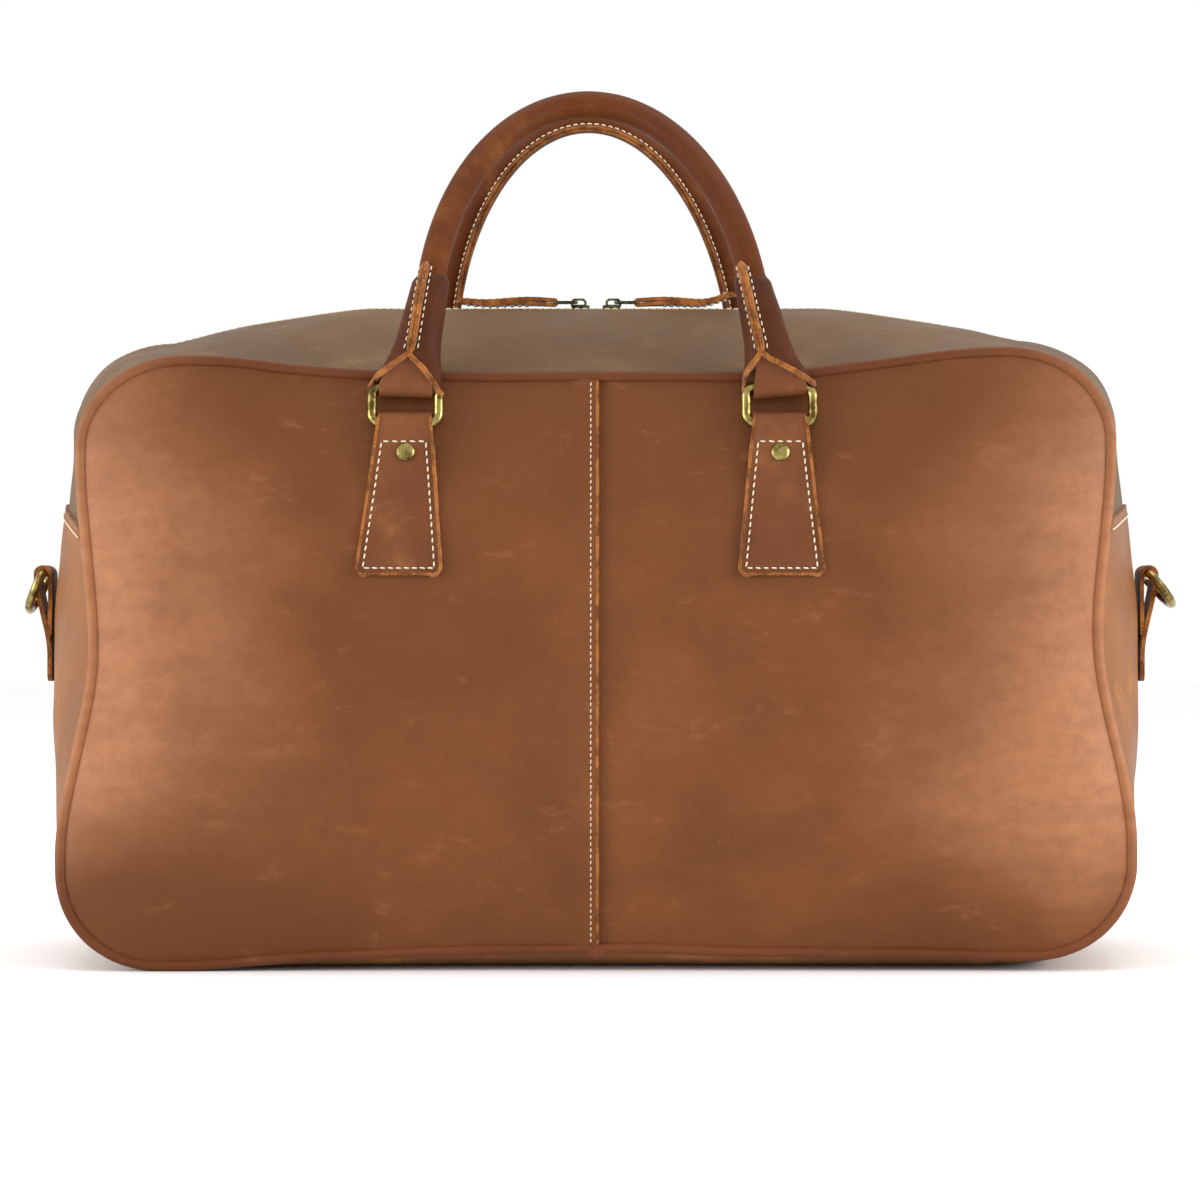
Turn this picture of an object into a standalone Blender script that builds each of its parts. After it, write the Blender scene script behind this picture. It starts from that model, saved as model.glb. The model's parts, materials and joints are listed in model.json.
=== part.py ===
"""Leather holdall with a two-way zip, two rolled handles on rings and two side D-rings.

Metres, +Z up. X runs along the zip, -Y is the front, and the bag stands on z = 0.
"""

import math

import bmesh
import bpy
from mathutils import Matrix, Vector

# ---- driving dimensions ----
PIPING_Y = 0.105            # each piping line's distance from the middle plane
PIPING_R = 0.0026
LEATHER = 0.0022
CLOTH = 0.0008
GAP = 0.0003                # air between touching pieces
JOIN_GAP = 0.0005           # air where two sheets meet edge to edge

TOP_CENTRE_Z = 0.2853       # piping height at the middle of the front
TOP_RISE = 0.0105           # how much higher it is near the corners
TOP_FLAT_X = 0.08           # the rise starts here
SIDE_TOP_X = 0.2475         # half width of the piping outline near the top
SIDE_PINCH = 0.0065         # how much narrower it is at the waist
SIDE_FLARE = 0.0095         # how much wider it is near the floor
TOP_CORNER = (0.051, 0.042)
BOTTOM_CORNER = (0.0456, 0.044)
BOTTOM_Z = 0.0028
BOTTOM_ARCH = 0.0045        # the piping lifts this much at the middle of the base

RIDGE_Z = 0.3267            # top of the zip band at the middle
RIDGE_R = 1.45              # radius of the zip's arc, seen from the front
RIDGE_END_X = 0.216
MID_CORNER = (0.0475, 0.0455)
MID_SIDE_X = 0.2640         # half width of the gusset at mid depth, near the top
MID_SWELL = 0.0110          # extra at its widest
MID_BOTTOM_CORNER = (0.062, 0.060)
SEAM_Z = 0.208              # side seam where the zip band meets the gusset
MOUTH_X = 0.19              # half length of the part of the band that opens
BASE_X = 0.19               # half length of the base piece

PANEL_BULGE = 0.018
PANEL_CENTRE_Z = 0.150
BULGE_POWER = 2.4

ZIP_EDGE_Y = 0.007          # the leather stops here, beside the teeth
TAPE_Y = 0.013
TAPE_DROP = LEATHER + 3 * GAP   # tape top below the leather's top
TEETH_Y = 0.0024
TEETH_H = 0.0018
TEETH_GAP = 0.0004          # half the space between the two rows of teeth
TEETH_DROP = TAPE_DROP - GAP - TEETH_H

RING_X = 0.0895
RING_BAR_R = 0.0023
RING_HALF_W = 0.01595       # to the wire's centre
RING_BEND = 0.0032
LOWER_BAR = (0.1175, 0.2626)    # distance from the middle plane, height
UPPER_BAR = (0.1140, 0.2796)
LOOP_R = RING_BAR_R + GAP + LEATHER / 2

TAB_TOP_W = 0.025
TAB_BOTTOM_W = 0.042
TAB_BOTTOM_Z = 0.190
TAB_BACK_Z = 0.238          # where the back ply ends
RIVET_Z = 0.2486
RIVET_CAP_R = 0.0045
RIVET_POST_R = 0.0014
RIVET_HOLE_R = 0.0018
RIVET_TILT = math.radians(11.6)

ARCH_A = 0.0818             # handle arch: half axes and centre height
ARCH_B = 0.1255
ARCH_Z = 0.300
LEG_FLARE = 0.0088
LEG_FLARE_Z = 0.340
LEAN_Z = 0.285              # the handle starts to lean inwards here
LEAN_AT_TOP = 0.084
LEAN_POWER = 1.8
TUBE_R = 0.0067
TUBE_WALL = 0.0021
CORE_R = 0.0038
TUBE_END_Z = 0.2985
WRAP_TOP_Z = 0.341

CHAPE_W = 0.0235
CHAPE_TOP_Z = 0.191         # D-ring bar height
CHAPE_BOTTOM_Z = 0.137
CHAPE_BACK_Z = 0.163
D_BAR_R = 0.0021
D_HALF_W = 0.0150
D_DEPTH = 0.0195
D_TILT = math.radians(34.0)

SLIDER_X = 0.0078           # each slider's centre from the middle
SLIDER_LENGTH = 0.0090
SLIDER_HALF_W = 0.0036
SLIDER_TOP = 0.0014
BAIL_H = 0.0040
BAIL_HALF_Y = 0.0011
LINK_LENGTH = 0.0125
LINK_HALF_W = 0.0042
LINK_WIRE = 0.0011
PULLER_LENGTH = 0.050
PULLER_W = 0.0118
PULLER_PLY = 0.0018

BOARD = (0.196, 0.094, 0.003)   # half length, half depth, thickness

LEATHER_PANEL = ("leather_panel", (0.55, 0.33, 0.21), 0.55, 0.0)
LEATHER_GUSSET = ("leather_gusset", (0.62, 0.40, 0.26), 0.6, 0.0)
LEATHER_BAND = ("leather_band", (0.51, 0.40, 0.30), 0.6, 0.0)
LEATHER_HANDLE = ("leather_handle", (0.44, 0.26, 0.145), 0.5, 0.0)
LEATHER_TAB = ("leather_tab", (0.49, 0.32, 0.21), 0.55, 0.0)
LEATHER_PIPING = ("leather_piping", (0.48, 0.29, 0.18), 0.5, 0.0)
LEATHER_PULLER = ("leather_puller", (0.52, 0.32, 0.13), 0.6, 0.0)
LINING_CLOTH = ("lining_cloth", (0.22, 0.17, 0.12), 0.85, 0.0)
BOARD_FIBRE = ("board_fibre", (0.30, 0.24, 0.18), 0.8, 0.0)
CORE_CORD = ("core_cord", (0.75, 0.70, 0.60), 0.8, 0.0)
TAPE_CLOTH = ("tape_cloth", (0.16, 0.10, 0.06), 0.85, 0.0)
ZIP_BRASS = ("zip_brass", (0.42, 0.36, 0.20), 0.4, 1.0)
ANTIQUE_BRASS = ("antique_brass", (0.56, 0.49, 0.28), 0.32, 1.0)

ORIGIN = Vector((0.0, 0.0, 0.0))
SIDES = (("left", -1), ("right", 1))
FACES = (("front", -1), ("rear", 1))


# ---- scene helpers ----
def start():
    """Empty the scene, and make one collection for the parts and one for the cutters."""
    for obj in list(bpy.data.objects):
        bpy.data.objects.remove(obj, do_unlink=True)
    made = []
    for name in ("leather_holdall", "cutters"):
        collection = bpy.data.collections.new(name)
        bpy.context.scene.collection.children.link(collection)
        made.append(collection)
    return made


PARTS, CUTTERS = start()


def material(finish):
    """A plain material for a finish: name, colour, roughness, metallic."""
    name, colour, roughness, metallic = finish
    found = bpy.data.materials.get(name)
    if found:
        return found
    made = bpy.data.materials.new(name)
    made.use_nodes = True
    shader = made.node_tree.nodes["Principled BSDF"]
    shader.inputs["Base Color"].default_value = (*colour, 1.0)
    shader.inputs["Roughness"].default_value = roughness
    shader.inputs["Metallic"].default_value = metallic
    return made


def add(name, data, finish, origin=ORIGIN):
    """Put mesh or curve data, drawn in world coordinates, in the scene with its own origin."""
    data.transform(Matrix.Translation(-Vector(origin)))
    obj = bpy.data.objects.new(name, data)
    obj.location = origin
    data.materials.append(material(finish))
    PARTS.objects.link(obj)
    return obj


def make_cutter(obj):
    """Move an object to the cutters' collection."""
    for collection in list(obj.users_collection):
        collection.objects.unlink(obj)
    CUTTERS.objects.link(obj)
    obj.display_type = "WIRE"
    obj.hide_render = True
    return obj


def boolean(obj, cutter, operation):
    """Cut or join with an EXACT Boolean."""
    modifier = obj.modifiers.new(operation.lower(), "BOOLEAN")
    modifier.operation = operation
    modifier.object = cutter
    return obj


def mesh_from(bm, name):
    """Turn a bmesh into mesh data."""
    data = bpy.data.meshes.new(name)
    bm.to_mesh(data)
    bm.free()
    return data


def smooth(obj):
    """Shade a round piece smooth."""
    for polygon in obj.data.polygons:
        polygon.use_smooth = True
    return obj


def grid(rows, flip=False, closed=False):
    """Faces over rows of points. A row that is one repeated point becomes a pole."""
    bm = bmesh.new()
    made = [[bm.verts.new(point) for point in row] for row in rows]
    count = len(rows[0])
    for upper, lower in zip(made, made[1:]):
        for i in range(count if closed else count - 1):
            j = (i + 1) % count
            corners = [upper[i], upper[j], lower[j], lower[i]]
            bm.faces.new(corners[::-1] if flip else corners)
    bmesh.ops.remove_doubles(bm, verts=bm.verts, dist=1e-6)
    return bm


def sheet(name, rows, thickness, finish, flip=False, offset=-1.0, origin=ORIGIN):
    """A sheet of leather or cloth: an open grid of points, thickened."""
    obj = add(name, mesh_from(grid(rows, flip), name), finish, origin)
    modifier = obj.modifiers.new("thickness", "SOLIDIFY")
    modifier.thickness = thickness
    modifier.offset = offset
    return obj


def wire(name, points, radius, finish, cyclic=False, resolution=1, origin=ORIGIN):
    """A wire or tube through points."""
    data = bpy.data.curves.new(name, "CURVE")
    data.dimensions = "3D"
    data.bevel_depth = radius
    data.bevel_resolution = resolution
    data.use_fill_caps = True
    spline = data.splines.new("POLY")
    spline.points.add(len(points) - 1)
    for target, point in zip(spline.points, points):
        target.co = (*point, 1.0)
    spline.use_cyclic_u = cyclic
    return add(name, data, finish, origin)


def curve_to_mesh(obj):
    """Replace a curve object with its welded mesh, so that it can be cut or can cut."""
    name = obj.name
    evaluated = obj.evaluated_get(bpy.context.evaluated_depsgraph_get())
    data = bpy.data.meshes.new_from_object(evaluated)
    bm = bmesh.new()
    bm.from_mesh(data)
    bmesh.ops.remove_doubles(bm, verts=bm.verts, dist=1e-6)
    bmesh.ops.recalc_face_normals(bm, faces=bm.faces)
    bm.to_mesh(data)
    bm.free()
    made = bpy.data.objects.new(name + "_mesh", data)
    made.matrix_world = obj.matrix_world.copy()
    PARTS.objects.link(made)
    bpy.data.objects.remove(obj, do_unlink=True)
    made.name = name
    return made


def plate(name, outlines, half_thickness, finish, turn, origin):
    """A flat plate from 2D outlines, the first outside and the rest holes, turned into place."""
    data = bpy.data.curves.new(name, "CURVE")
    data.dimensions = "2D"
    data.fill_mode = "BOTH"
    data.extrude = half_thickness
    for outline in outlines:
        spline = data.splines.new("POLY")
        spline.points.add(len(outline) - 1)
        for target, (u, v) in zip(spline.points, outline):
            target.co = (u, v, 0.0, 1.0)
        spline.use_cyclic_u = True
    obj = bpy.data.objects.new(name, data)
    obj.matrix_world = Matrix.Translation(origin) @ turn
    data.materials.append(material(finish))
    PARTS.objects.link(obj)
    bpy.context.view_layer.update()
    return obj


def set_origin(obj, origin):
    """Bake an object's placement into its mesh, then give it an origin."""
    obj.data.transform(obj.matrix_world)
    obj.data.transform(Matrix.Translation(-origin))
    obj.matrix_world = Matrix.Translation(origin)


# ---- shape of the bag ----
def ease(value):
    """0 below 0, 1 above 1, smooth between."""
    value = min(1.0, max(0.0, value))
    return value * value * (3.0 - 2.0 * value)


def mix(a, b, share):
    return a + (b - a) * share


def top_z(x):
    """Height of the piping along the top of the front."""
    return TOP_CENTRE_Z + TOP_RISE * ease((abs(x) - TOP_FLAT_X) / 0.115)


def bottom_z(x):
    """Height of the piping along the base."""
    return BOTTOM_Z + BOTTOM_ARCH * (1.0 - ease(abs(x) / 0.2))


def side_x(z):
    """Half width of the piping outline: a waist half-way down and a flare near the floor."""
    waist = ease((0.250 - z) / 0.09)
    flare = ease((0.155 - z) / 0.10)
    return SIDE_TOP_X - SIDE_PINCH * waist + (SIDE_PINCH + SIDE_FLARE) * flare


TOP_END_X = SIDE_TOP_X - TOP_CORNER[0]
SIDE_HIGH_Z = top_z(TOP_END_X) - TOP_CORNER[1]
SIDE_LOW_Z = BOTTOM_Z + BOTTOM_CORNER[1]
BOTTOM_END_X = side_x(SIDE_LOW_Z) - BOTTOM_CORNER[0]
MOUTH_T = MOUTH_X / TOP_END_X
SEAM_T = 2.0 + (SIDE_HIGH_Z - SEAM_Z) / (SIDE_HIGH_Z - SIDE_LOW_Z)
BASE_T = 4.0 + (BOTTOM_END_X - BASE_X) / BOTTOM_END_X


def piping_point(t):
    """Half outline of the piping: t runs 0-1 top, 1-2 corner, 2-3 side, 3-4 corner, 4-5 base."""
    if t <= 1.0:
        x = t * TOP_END_X
        return x, top_z(x)
    if t <= 2.0:
        angle = math.radians(90.0 * (2.0 - t))
        x = TOP_END_X + TOP_CORNER[0] * math.cos(angle)
        return x, SIDE_HIGH_Z + TOP_CORNER[1] * math.sin(angle)
    if t <= 3.0:
        z = mix(SIDE_HIGH_Z, SIDE_LOW_Z, t - 2.0)
        return side_x(z), z
    if t <= 4.0:
        angle = math.radians(90.0 * (t - 3.0))
        x = BOTTOM_END_X + BOTTOM_CORNER[0] * math.cos(angle)
        return x, SIDE_LOW_Z - BOTTOM_CORNER[1] * math.sin(angle)
    x = BOTTOM_END_X * (5.0 - t)
    return x, bottom_z(x)


def ridge_z(x):
    """Height of the zip band's top at the middle plane."""
    return RIDGE_Z - (RIDGE_R - math.sqrt(RIDGE_R ** 2 - x ** 2))


MID_HIGH_Z = ridge_z(RIDGE_END_X) - MID_CORNER[1]
MID_LOW_Z = MID_BOTTOM_CORNER[1]


def mid_side_x(z):
    """Half width of the gusset at mid depth."""
    swell = ease((MID_HIGH_Z - z) / 0.10) * (1.0 - ease((0.125 - z) / 0.12))
    return MID_SIDE_X + MID_SWELL * swell


MID_BOTTOM_END_X = mid_side_x(MID_LOW_Z) - MID_BOTTOM_CORNER[0]


def mid_point(t):
    """The same half outline at mid depth."""
    if t <= MOUTH_T:
        x = piping_point(t)[0]
        return x, ridge_z(x)
    if t <= 1.0:
        x = mix(MOUTH_X, RIDGE_END_X, (t - MOUTH_T) / (1.0 - MOUTH_T))
        return x, ridge_z(x)
    if t <= 2.0:
        angle = math.radians(90.0 * (2.0 - t))
        x = RIDGE_END_X + MID_CORNER[0] * math.cos(angle)
        return x, MID_HIGH_Z + MID_CORNER[1] * math.sin(angle)
    if t <= 3.0:
        z = mix(MID_HIGH_Z, MID_LOW_Z, t - 2.0)
        return mid_side_x(z), z
    if t <= 4.0:
        angle = math.radians(90.0 * (t - 3.0))
        x = MID_BOTTOM_END_X + MID_BOTTOM_CORNER[0] * math.cos(angle)
        return x, MID_LOW_Z - MID_BOTTOM_CORNER[1] * math.sin(angle)
    return mix(MID_BOTTOM_END_X, BASE_X, (t - 4.0) / (BASE_T - 4.0)), 0.0


def outward(t):
    """Unit normal of the piping outline, pointing out of the bag."""
    x0, z0 = piping_point(max(0.0, t - 0.02))
    x1, z1 = piping_point(min(5.0, t + 0.02))
    length = math.hypot(x1 - x0, z1 - z0)
    return -(z1 - z0) / length, (x1 - x0) / length


def skin(t, depth, inset=0.0):
    """A point on the band, gusset or base at a depth from the middle plane, moved inwards by inset."""
    px, pz = piping_point(t)
    nx, nz = outward(t)
    mx, mz = mid_point(t)
    share = abs(depth) / PIPING_Y
    power = mix(1.2, 2.2, ease(t - 1.0)) + 6.0 * ease(t - 3.3)
    rise = 1.0 - share ** power
    edge = LEATHER / 2
    x = mix(px + nx * edge, mx, rise) - nx * inset
    z = mix(pz + nz * edge, mz, rise) - nz * inset
    return Vector((x, depth, max(z, 0.0002) if inset == 0.0 else z))


def steps(first, last, count):
    """Evenly spaced values from first to last."""
    return [mix(first, last, i / (count - 1)) for i in range(count)]


def half_outline(inset, count=9):
    """The whole half outline as points, moved inwards by inset."""
    values = steps(0.0, 1.0, 6)
    for start_t, pieces in ((1.0, 6), (2.0, count), (3.0, 6), (4.0, 5)):
        values += steps(start_t, start_t + 1.0, pieces)[1:]
    points = []
    for t in values:
        x, z = piping_point(t)
        nx, nz = outward(t)
        points.append((max(0.0, x - nx * inset) if t not in (0.0, 5.0) else 0.0, z - nz * inset))
    return points


def rim_share(x, z):
    """How far a point on the panel is from its centre to its rim, from 0 to 1."""
    direction = Vector((abs(x), z - PANEL_CENTRE_Z))
    if direction.length < 1e-6:
        return 0.0
    outline = half_outline(PIPING_R + GAP)
    for (x0, z0), (x1, z1) in zip(outline, outline[1:]):
        edge = Vector((x1 - x0, z1 - z0))
        start_point = Vector((x0, z0 - PANEL_CENTRE_Z))
        cross = direction.x * edge.y - direction.y * edge.x
        if abs(cross) < 1e-12:
            continue
        along = (start_point.x * edge.y - start_point.y * edge.x) / cross
        across = (start_point.x * direction.y - start_point.y * direction.x) / cross
        if along > 0.0 and -1e-6 <= across <= 1.0 + 1e-6:
            return 1.0 / along
    return 0.0


def panel_depth(share):
    """Distance of the panel's outer face from the middle plane."""
    return PIPING_Y + 0.0005 + PANEL_BULGE * (1.0 - share ** BULGE_POWER)


def panel_surface(x, z):
    return panel_depth(rim_share(x, z))


# ---- shell ----
def rivet_frame(sx, sy):
    """Centre of a rivet on the tab's outer face, and its outward direction."""
    depth = panel_surface(RING_X, RIVET_Z) + 2 * LEATHER + 2 * GAP
    centre = Vector((sx * RING_X, sy * depth, RIVET_Z))
    direction = Vector((0.0, sy * math.cos(RIVET_TILT), math.sin(RIVET_TILT)))
    return centre, direction


def rod(name, centre, direction, profile, finish, sides=12):
    """A turned solid: radii and distances along a direction from the centre."""
    bm = bmesh.new()
    turn = direction.to_track_quat("Z", "Y").to_matrix()
    rings = []
    for radius, along in profile:
        ring = []
        for i in range(sides):
            angle = 2.0 * math.pi * i / sides
            local = Vector((radius * math.cos(angle), radius * math.sin(angle), along))
            ring.append(bm.verts.new(centre + turn @ local))
        rings.append(ring)
    for lower, upper in zip(rings, rings[1:]):
        for i in range(sides):
            j = (i + 1) % sides
            bm.faces.new([lower[i], lower[j], upper[j], upper[i]])
    bm.faces.new(rings[0][::-1])
    bm.faces.new(rings[-1])
    return add(name, mesh_from(bm, name), finish)


def rivet_cutter(name, sx, sy):
    centre, direction = rivet_frame(sx, sy)
    reach = 0.020
    return make_cutter(rod(name, centre, direction, ((RIVET_HOLE_R, -reach), (RIVET_HOLE_R, reach)),
                           ANTIQUE_BRASS))


def build_panels():
    """Two bulged halves on the front and two on the rear, with a hole for each rivet."""
    outline = half_outline(PIPING_R + GAP)
    shares = (1.0, 0.86, 0.66, 0.42, 0.2, 0.0)
    for face, sy in FACES:
        for side, sx in SIDES:
            rows = []
            for share in shares:
                row = []
                for x, z in outline:
                    px = max(JOIN_GAP / 2, x * share)
                    pz = mix(PANEL_CENTRE_Z, z, share)
                    row.append(Vector((sx * px, sy * panel_depth(share), pz)))
                rows.append(row)
            panel_name = {"front": "front_panel_", "rear": "back_panel_"}[face] + side
            obj = sheet(panel_name, rows, LEATHER, LEATHER_PANEL, flip=(sx * sy < 0))
            smooth(obj)
            boolean(obj, rivet_cutter("rivet_hole_%s_%s" % (face, side), sx, sy), "DIFFERENCE")


def build_piping():
    """A cord covered in leather round each panel."""
    half = half_outline(0.0, count=12)
    loop = half + [(-x, z) for x, z in half[-2:0:-1]]
    for face, sy in FACES:
        points = [Vector((x, sy * PIPING_Y, z)) for x, z in loop]
        wire("piping_" + face, points, PIPING_R, LEATHER_PIPING, cyclic=True)


def build_gussets():
    """The side gussets, round the bottom corners, and the flat base piece between them."""
    edge_y = PIPING_Y - PIPING_R - GAP
    depths = [edge_y * share for share in (-1.0, -0.8, -0.45, 0.0, 0.45, 0.8, 1.0)]
    stations = steps(SEAM_T + 0.003, 3.0, 8) + steps(3.0, 4.0, 7)[1:] + steps(4.0, BASE_T - 0.003, 2)[1:]
    for side, sx in SIDES:
        rows = []
        for t in stations:
            row = []
            for depth in depths:
                point = skin(t, depth)
                row.append(Vector((sx * point.x, depth, point.z)))
            rows.append(row)
        smooth(sheet("side_gusset_" + side, rows, LEATHER, LEATHER_GUSSET, flip=(sx > 0)))
    bm = bmesh.new()
    size = (2 * (BASE_X - JOIN_GAP), 2 * edge_y, LEATHER)
    placed = Matrix.Translation((0.0, 0.0, LEATHER / 2)) @ Matrix.Diagonal((*size, 1.0))
    bmesh.ops.create_cube(bm, size=1.0, matrix=placed)
    add("base_gusset", mesh_from(bm, "base_gusset"), LEATHER_GUSSET)


def build_band_ends():
    """The zip band's four fixed ends, from the mouth over the corner to the side seam."""
    first = PIPING_Y - PIPING_R - GAP
    depths = [mix(ZIP_EDGE_Y, first, share) for share in (0.0, 0.35, 0.7, 1.0)]
    stations = [MOUTH_T + 0.003] + steps(1.0, 2.0, 7) + steps(2.0, SEAM_T - 0.003, 4)[1:]
    for face, sy in FACES:
        for side, sx in SIDES:
            rows = []
            for t in stations:
                row = []
                for depth in depths:
                    point = skin(t, depth)
                    row.append(Vector((sx * point.x, sy * depth, point.z)))
                rows.append(row)
            name = "zip_band_end_%s_%s" % (face, side)
            smooth(sheet(name, rows, LEATHER, LEATHER_BAND, flip=(sx * sy > 0)))


# ---- zip and mouth ----
def ridge_strip(name, stations, depths, drop, thickness, finish, sx=1, origin=ORIGIN):
    """A strip that follows the zip's line, its top a drop below the leather's top."""
    bm = bmesh.new()
    sections = []
    for t in stations:
        sign = sx * (-1 if t < 0 else 1)
        ring = []
        for inset, order in ((drop, depths), (drop + thickness, depths[::-1])):
            for depth in order:
                point = skin(abs(t), depth, inset)
                ring.append(bm.verts.new((sign * point.x, depth, point.z)))
        sections.append(ring)
    count = len(sections[0])
    for one, two in zip(sections, sections[1:]):
        for i in range(count):
            j = (i + 1) % count
            bm.faces.new([one[i], one[j], two[j], two[i]])
    bm.faces.new(sections[0][::-1])
    bm.faces.new(sections[-1])
    bmesh.ops.recalc_face_normals(bm, faces=bm.faces)
    return add(name, mesh_from(bm, name), finish, origin)


def build_zip_ends():
    """The closed ends of the zip, beyond the sliders' last place."""
    stations = [MOUTH_T + 0.003] + steps(1.0, 2.0, 7) + steps(2.0, SEAM_T - 0.02, 3)[1:]
    for side, sx in SIDES:
        ridge_strip("zip_tape_end_" + side, stations, (-TAPE_Y, -ZIP_EDGE_Y, 0.0, ZIP_EDGE_Y, TAPE_Y),
                    TAPE_DROP, CLOTH, TAPE_CLOTH, sx)
        ridge_strip("zip_teeth_end_" + side, stations, (-TEETH_Y, 0.0, TEETH_Y), TEETH_DROP, TEETH_H,
                    ZIP_BRASS, sx)


HINGE_Z = 0.2935


def build_mouth():
    """The two halves of the band that open, each with its lining, tape and teeth."""
    stations = steps(-(MOUTH_T - 0.003), MOUTH_T - 0.003, 11)
    first = PIPING_Y - PIPING_R - GAP
    for face, sy in FACES:
        hinge = Vector((0.0, sy * PIPING_Y, HINGE_Z))
        for name, inset, thickness, finish, inner, outer in (
            ("zip_band_" + face, 0.0, LEATHER, LEATHER_BAND, ZIP_EDGE_Y, first),
            ("band_lining_" + face, LEATHER + 2 * GAP + CLOTH, CLOTH, LINING_CLOTH, 0.016, first - 0.004),
        ):
            rows = []
            for t in stations:
                row = []
                for share in (0.0, 0.33, 0.67, 1.0):
                    depth = mix(inner, outer, share)
                    point = skin(abs(t), depth, inset)
                    row.append(Vector((math.copysign(point.x, t), sy * depth, point.z)))
                rows.append(row)
            smooth(sheet(name, rows, thickness, finish, flip=(sy > 0), origin=hinge))
        ridge_strip("zip_tape_" + face, stations, (sy * TEETH_GAP, sy * ZIP_EDGE_Y, sy * TAPE_Y),
                    TAPE_DROP, CLOTH, TAPE_CLOTH, origin=hinge)
        ridge_strip("zip_teeth_" + face, stations, (sy * TEETH_GAP, sy * TEETH_Y), TEETH_DROP, TEETH_H,
                    ZIP_BRASS, origin=hinge)


def rounded_rectangle(half_u, half_v, corner, corner_points=3, centre=(0.0, 0.0)):
    """A rounded rectangle's outline as 2D points."""
    points = []
    for quarter in range(4):
        cu = (half_u - corner) * (1 if quarter in (0, 3) else -1)
        cv = (half_v - corner) * (1 if quarter in (0, 1) else -1)
        for i in range(corner_points):
            angle = math.radians(90.0 * (quarter + i / (corner_points - 1)))
            points.append((centre[0] + cu + corner * math.cos(angle),
                           centre[1] + cv + corner * math.sin(angle)))
    return points


TURN_XZ = Matrix.Rotation(math.pi / 2, 4, "X")      # a plate's face turned to look along Y
TURN_YZ = Matrix.Rotation(math.pi / 2, 4, "Z") @ Matrix.Rotation(math.pi / 2, 4, "X")
ZIP_AXIS = Vector((0.0, 0.0, RIDGE_Z - RIDGE_R))
SLIDER_UNDER = RIDGE_Z - TAPE_DROP + GAP + TEETH_H + GAP
BAIL_Z = SLIDER_UNDER + SLIDER_TOP + 0.0016
BAIL_EYE_X = SLIDER_X + 0.0020


def build_sliders():
    """A channel over the teeth with a bail on top, for each of the two sliders."""
    flange_bottom = RIDGE_Z - TAPE_DROP + 2 * GAP
    inner_y = TEETH_Y + GAP + 0.0002
    channel = [(-SLIDER_HALF_W, flange_bottom), (-inner_y, flange_bottom), (-inner_y, SLIDER_UNDER),
               (inner_y, SLIDER_UNDER), (inner_y, flange_bottom), (SLIDER_HALF_W, flange_bottom),
               (SLIDER_HALF_W, SLIDER_UNDER + SLIDER_TOP), (-SLIDER_HALF_W, SLIDER_UNDER + SLIDER_TOP)]
    deck = SLIDER_UNDER + SLIDER_TOP
    for side, sx in SIDES:
        body = curve_to_mesh(plate("slider_" + side, [channel], SLIDER_LENGTH / 2, ZIP_BRASS, TURN_YZ,
                                   Vector((sx * SLIDER_X, 0.0, 0.0))))
        base_z = deck - 0.0006
        outer = [(-0.0040, base_z), (0.0040, base_z), (0.0040, deck + 0.0022),
                 (0.0026, deck + BAIL_H - 0.0004), (-0.0026, deck + BAIL_H - 0.0004), (-0.0040, deck + 0.0022)]
        hole = [(-0.0028, deck + 0.0005), (0.0028, deck + 0.0005), (0.0028, deck + 0.0019),
                (0.0018, deck + BAIL_H - 0.0014), (-0.0018, deck + BAIL_H - 0.0014), (-0.0028, deck + 0.0019)]
        bail = curve_to_mesh(plate("bail_" + side, [outer, hole], BAIL_HALF_Y, ZIP_BRASS, TURN_XZ,
                                   Vector((sx * (BAIL_EYE_X - 0.0010), 0.0, 0.0))))
        boolean(body, make_cutter(bail), "UNION")
        set_origin(body, ZIP_AXIS)


def build_pullers():
    """The link through each bail, and the leather strip folded round the link's far bar."""
    eye_z = BAIL_Z
    for side, sx in SIDES:
        pivot = Vector((sx * BAIL_EYE_X, 0.0, eye_z))
        middle_x = BAIL_EYE_X + LINK_LENGTH / 2 - LINK_WIRE / 2
        outer = rounded_rectangle(LINK_LENGTH / 2, LINK_HALF_W, 0.0014)
        inner = rounded_rectangle(LINK_LENGTH / 2 - LINK_WIRE, LINK_HALF_W - LINK_WIRE, 0.0006, 2)
        link = curve_to_mesh(plate("pull_link_" + side, [outer, inner], LINK_WIRE / 2, ZIP_BRASS,
                                   Matrix.Identity(4), Vector((sx * middle_x, 0.0, eye_z))))
        set_origin(link, pivot)
        bar_x = BAIL_EYE_X + LINK_LENGTH - LINK_WIRE
        turn_r = LINK_WIRE / 2 + GAP + 0.0003 + PULLER_PLY / 2
        tip_x = bar_x + PULLER_LENGTH
        path = [(tip_x, eye_z - turn_r), (bar_x, eye_z - turn_r)]
        for i in range(1, 6):
            angle = math.radians(-90.0 - 30.0 * i)
            path.append((bar_x + turn_r * math.cos(angle), eye_z + turn_r * math.sin(angle)))
        path += [(bar_x, eye_z + turn_r), (tip_x, eye_z + turn_r)]
        half_w = LINK_HALF_W - LINK_WIRE - GAP
        rows = []
        for i, (x, z) in enumerate(path):
            wide = half_w if 0 < i < len(path) - 1 else PULLER_W / 2
            rows.append([Vector((sx * x, y, z)) for y in (-wide, wide)])
        sheet("puller_" + side, rows, PULLER_PLY, LEATHER_PULLER, offset=0.0, origin=pivot)


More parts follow.
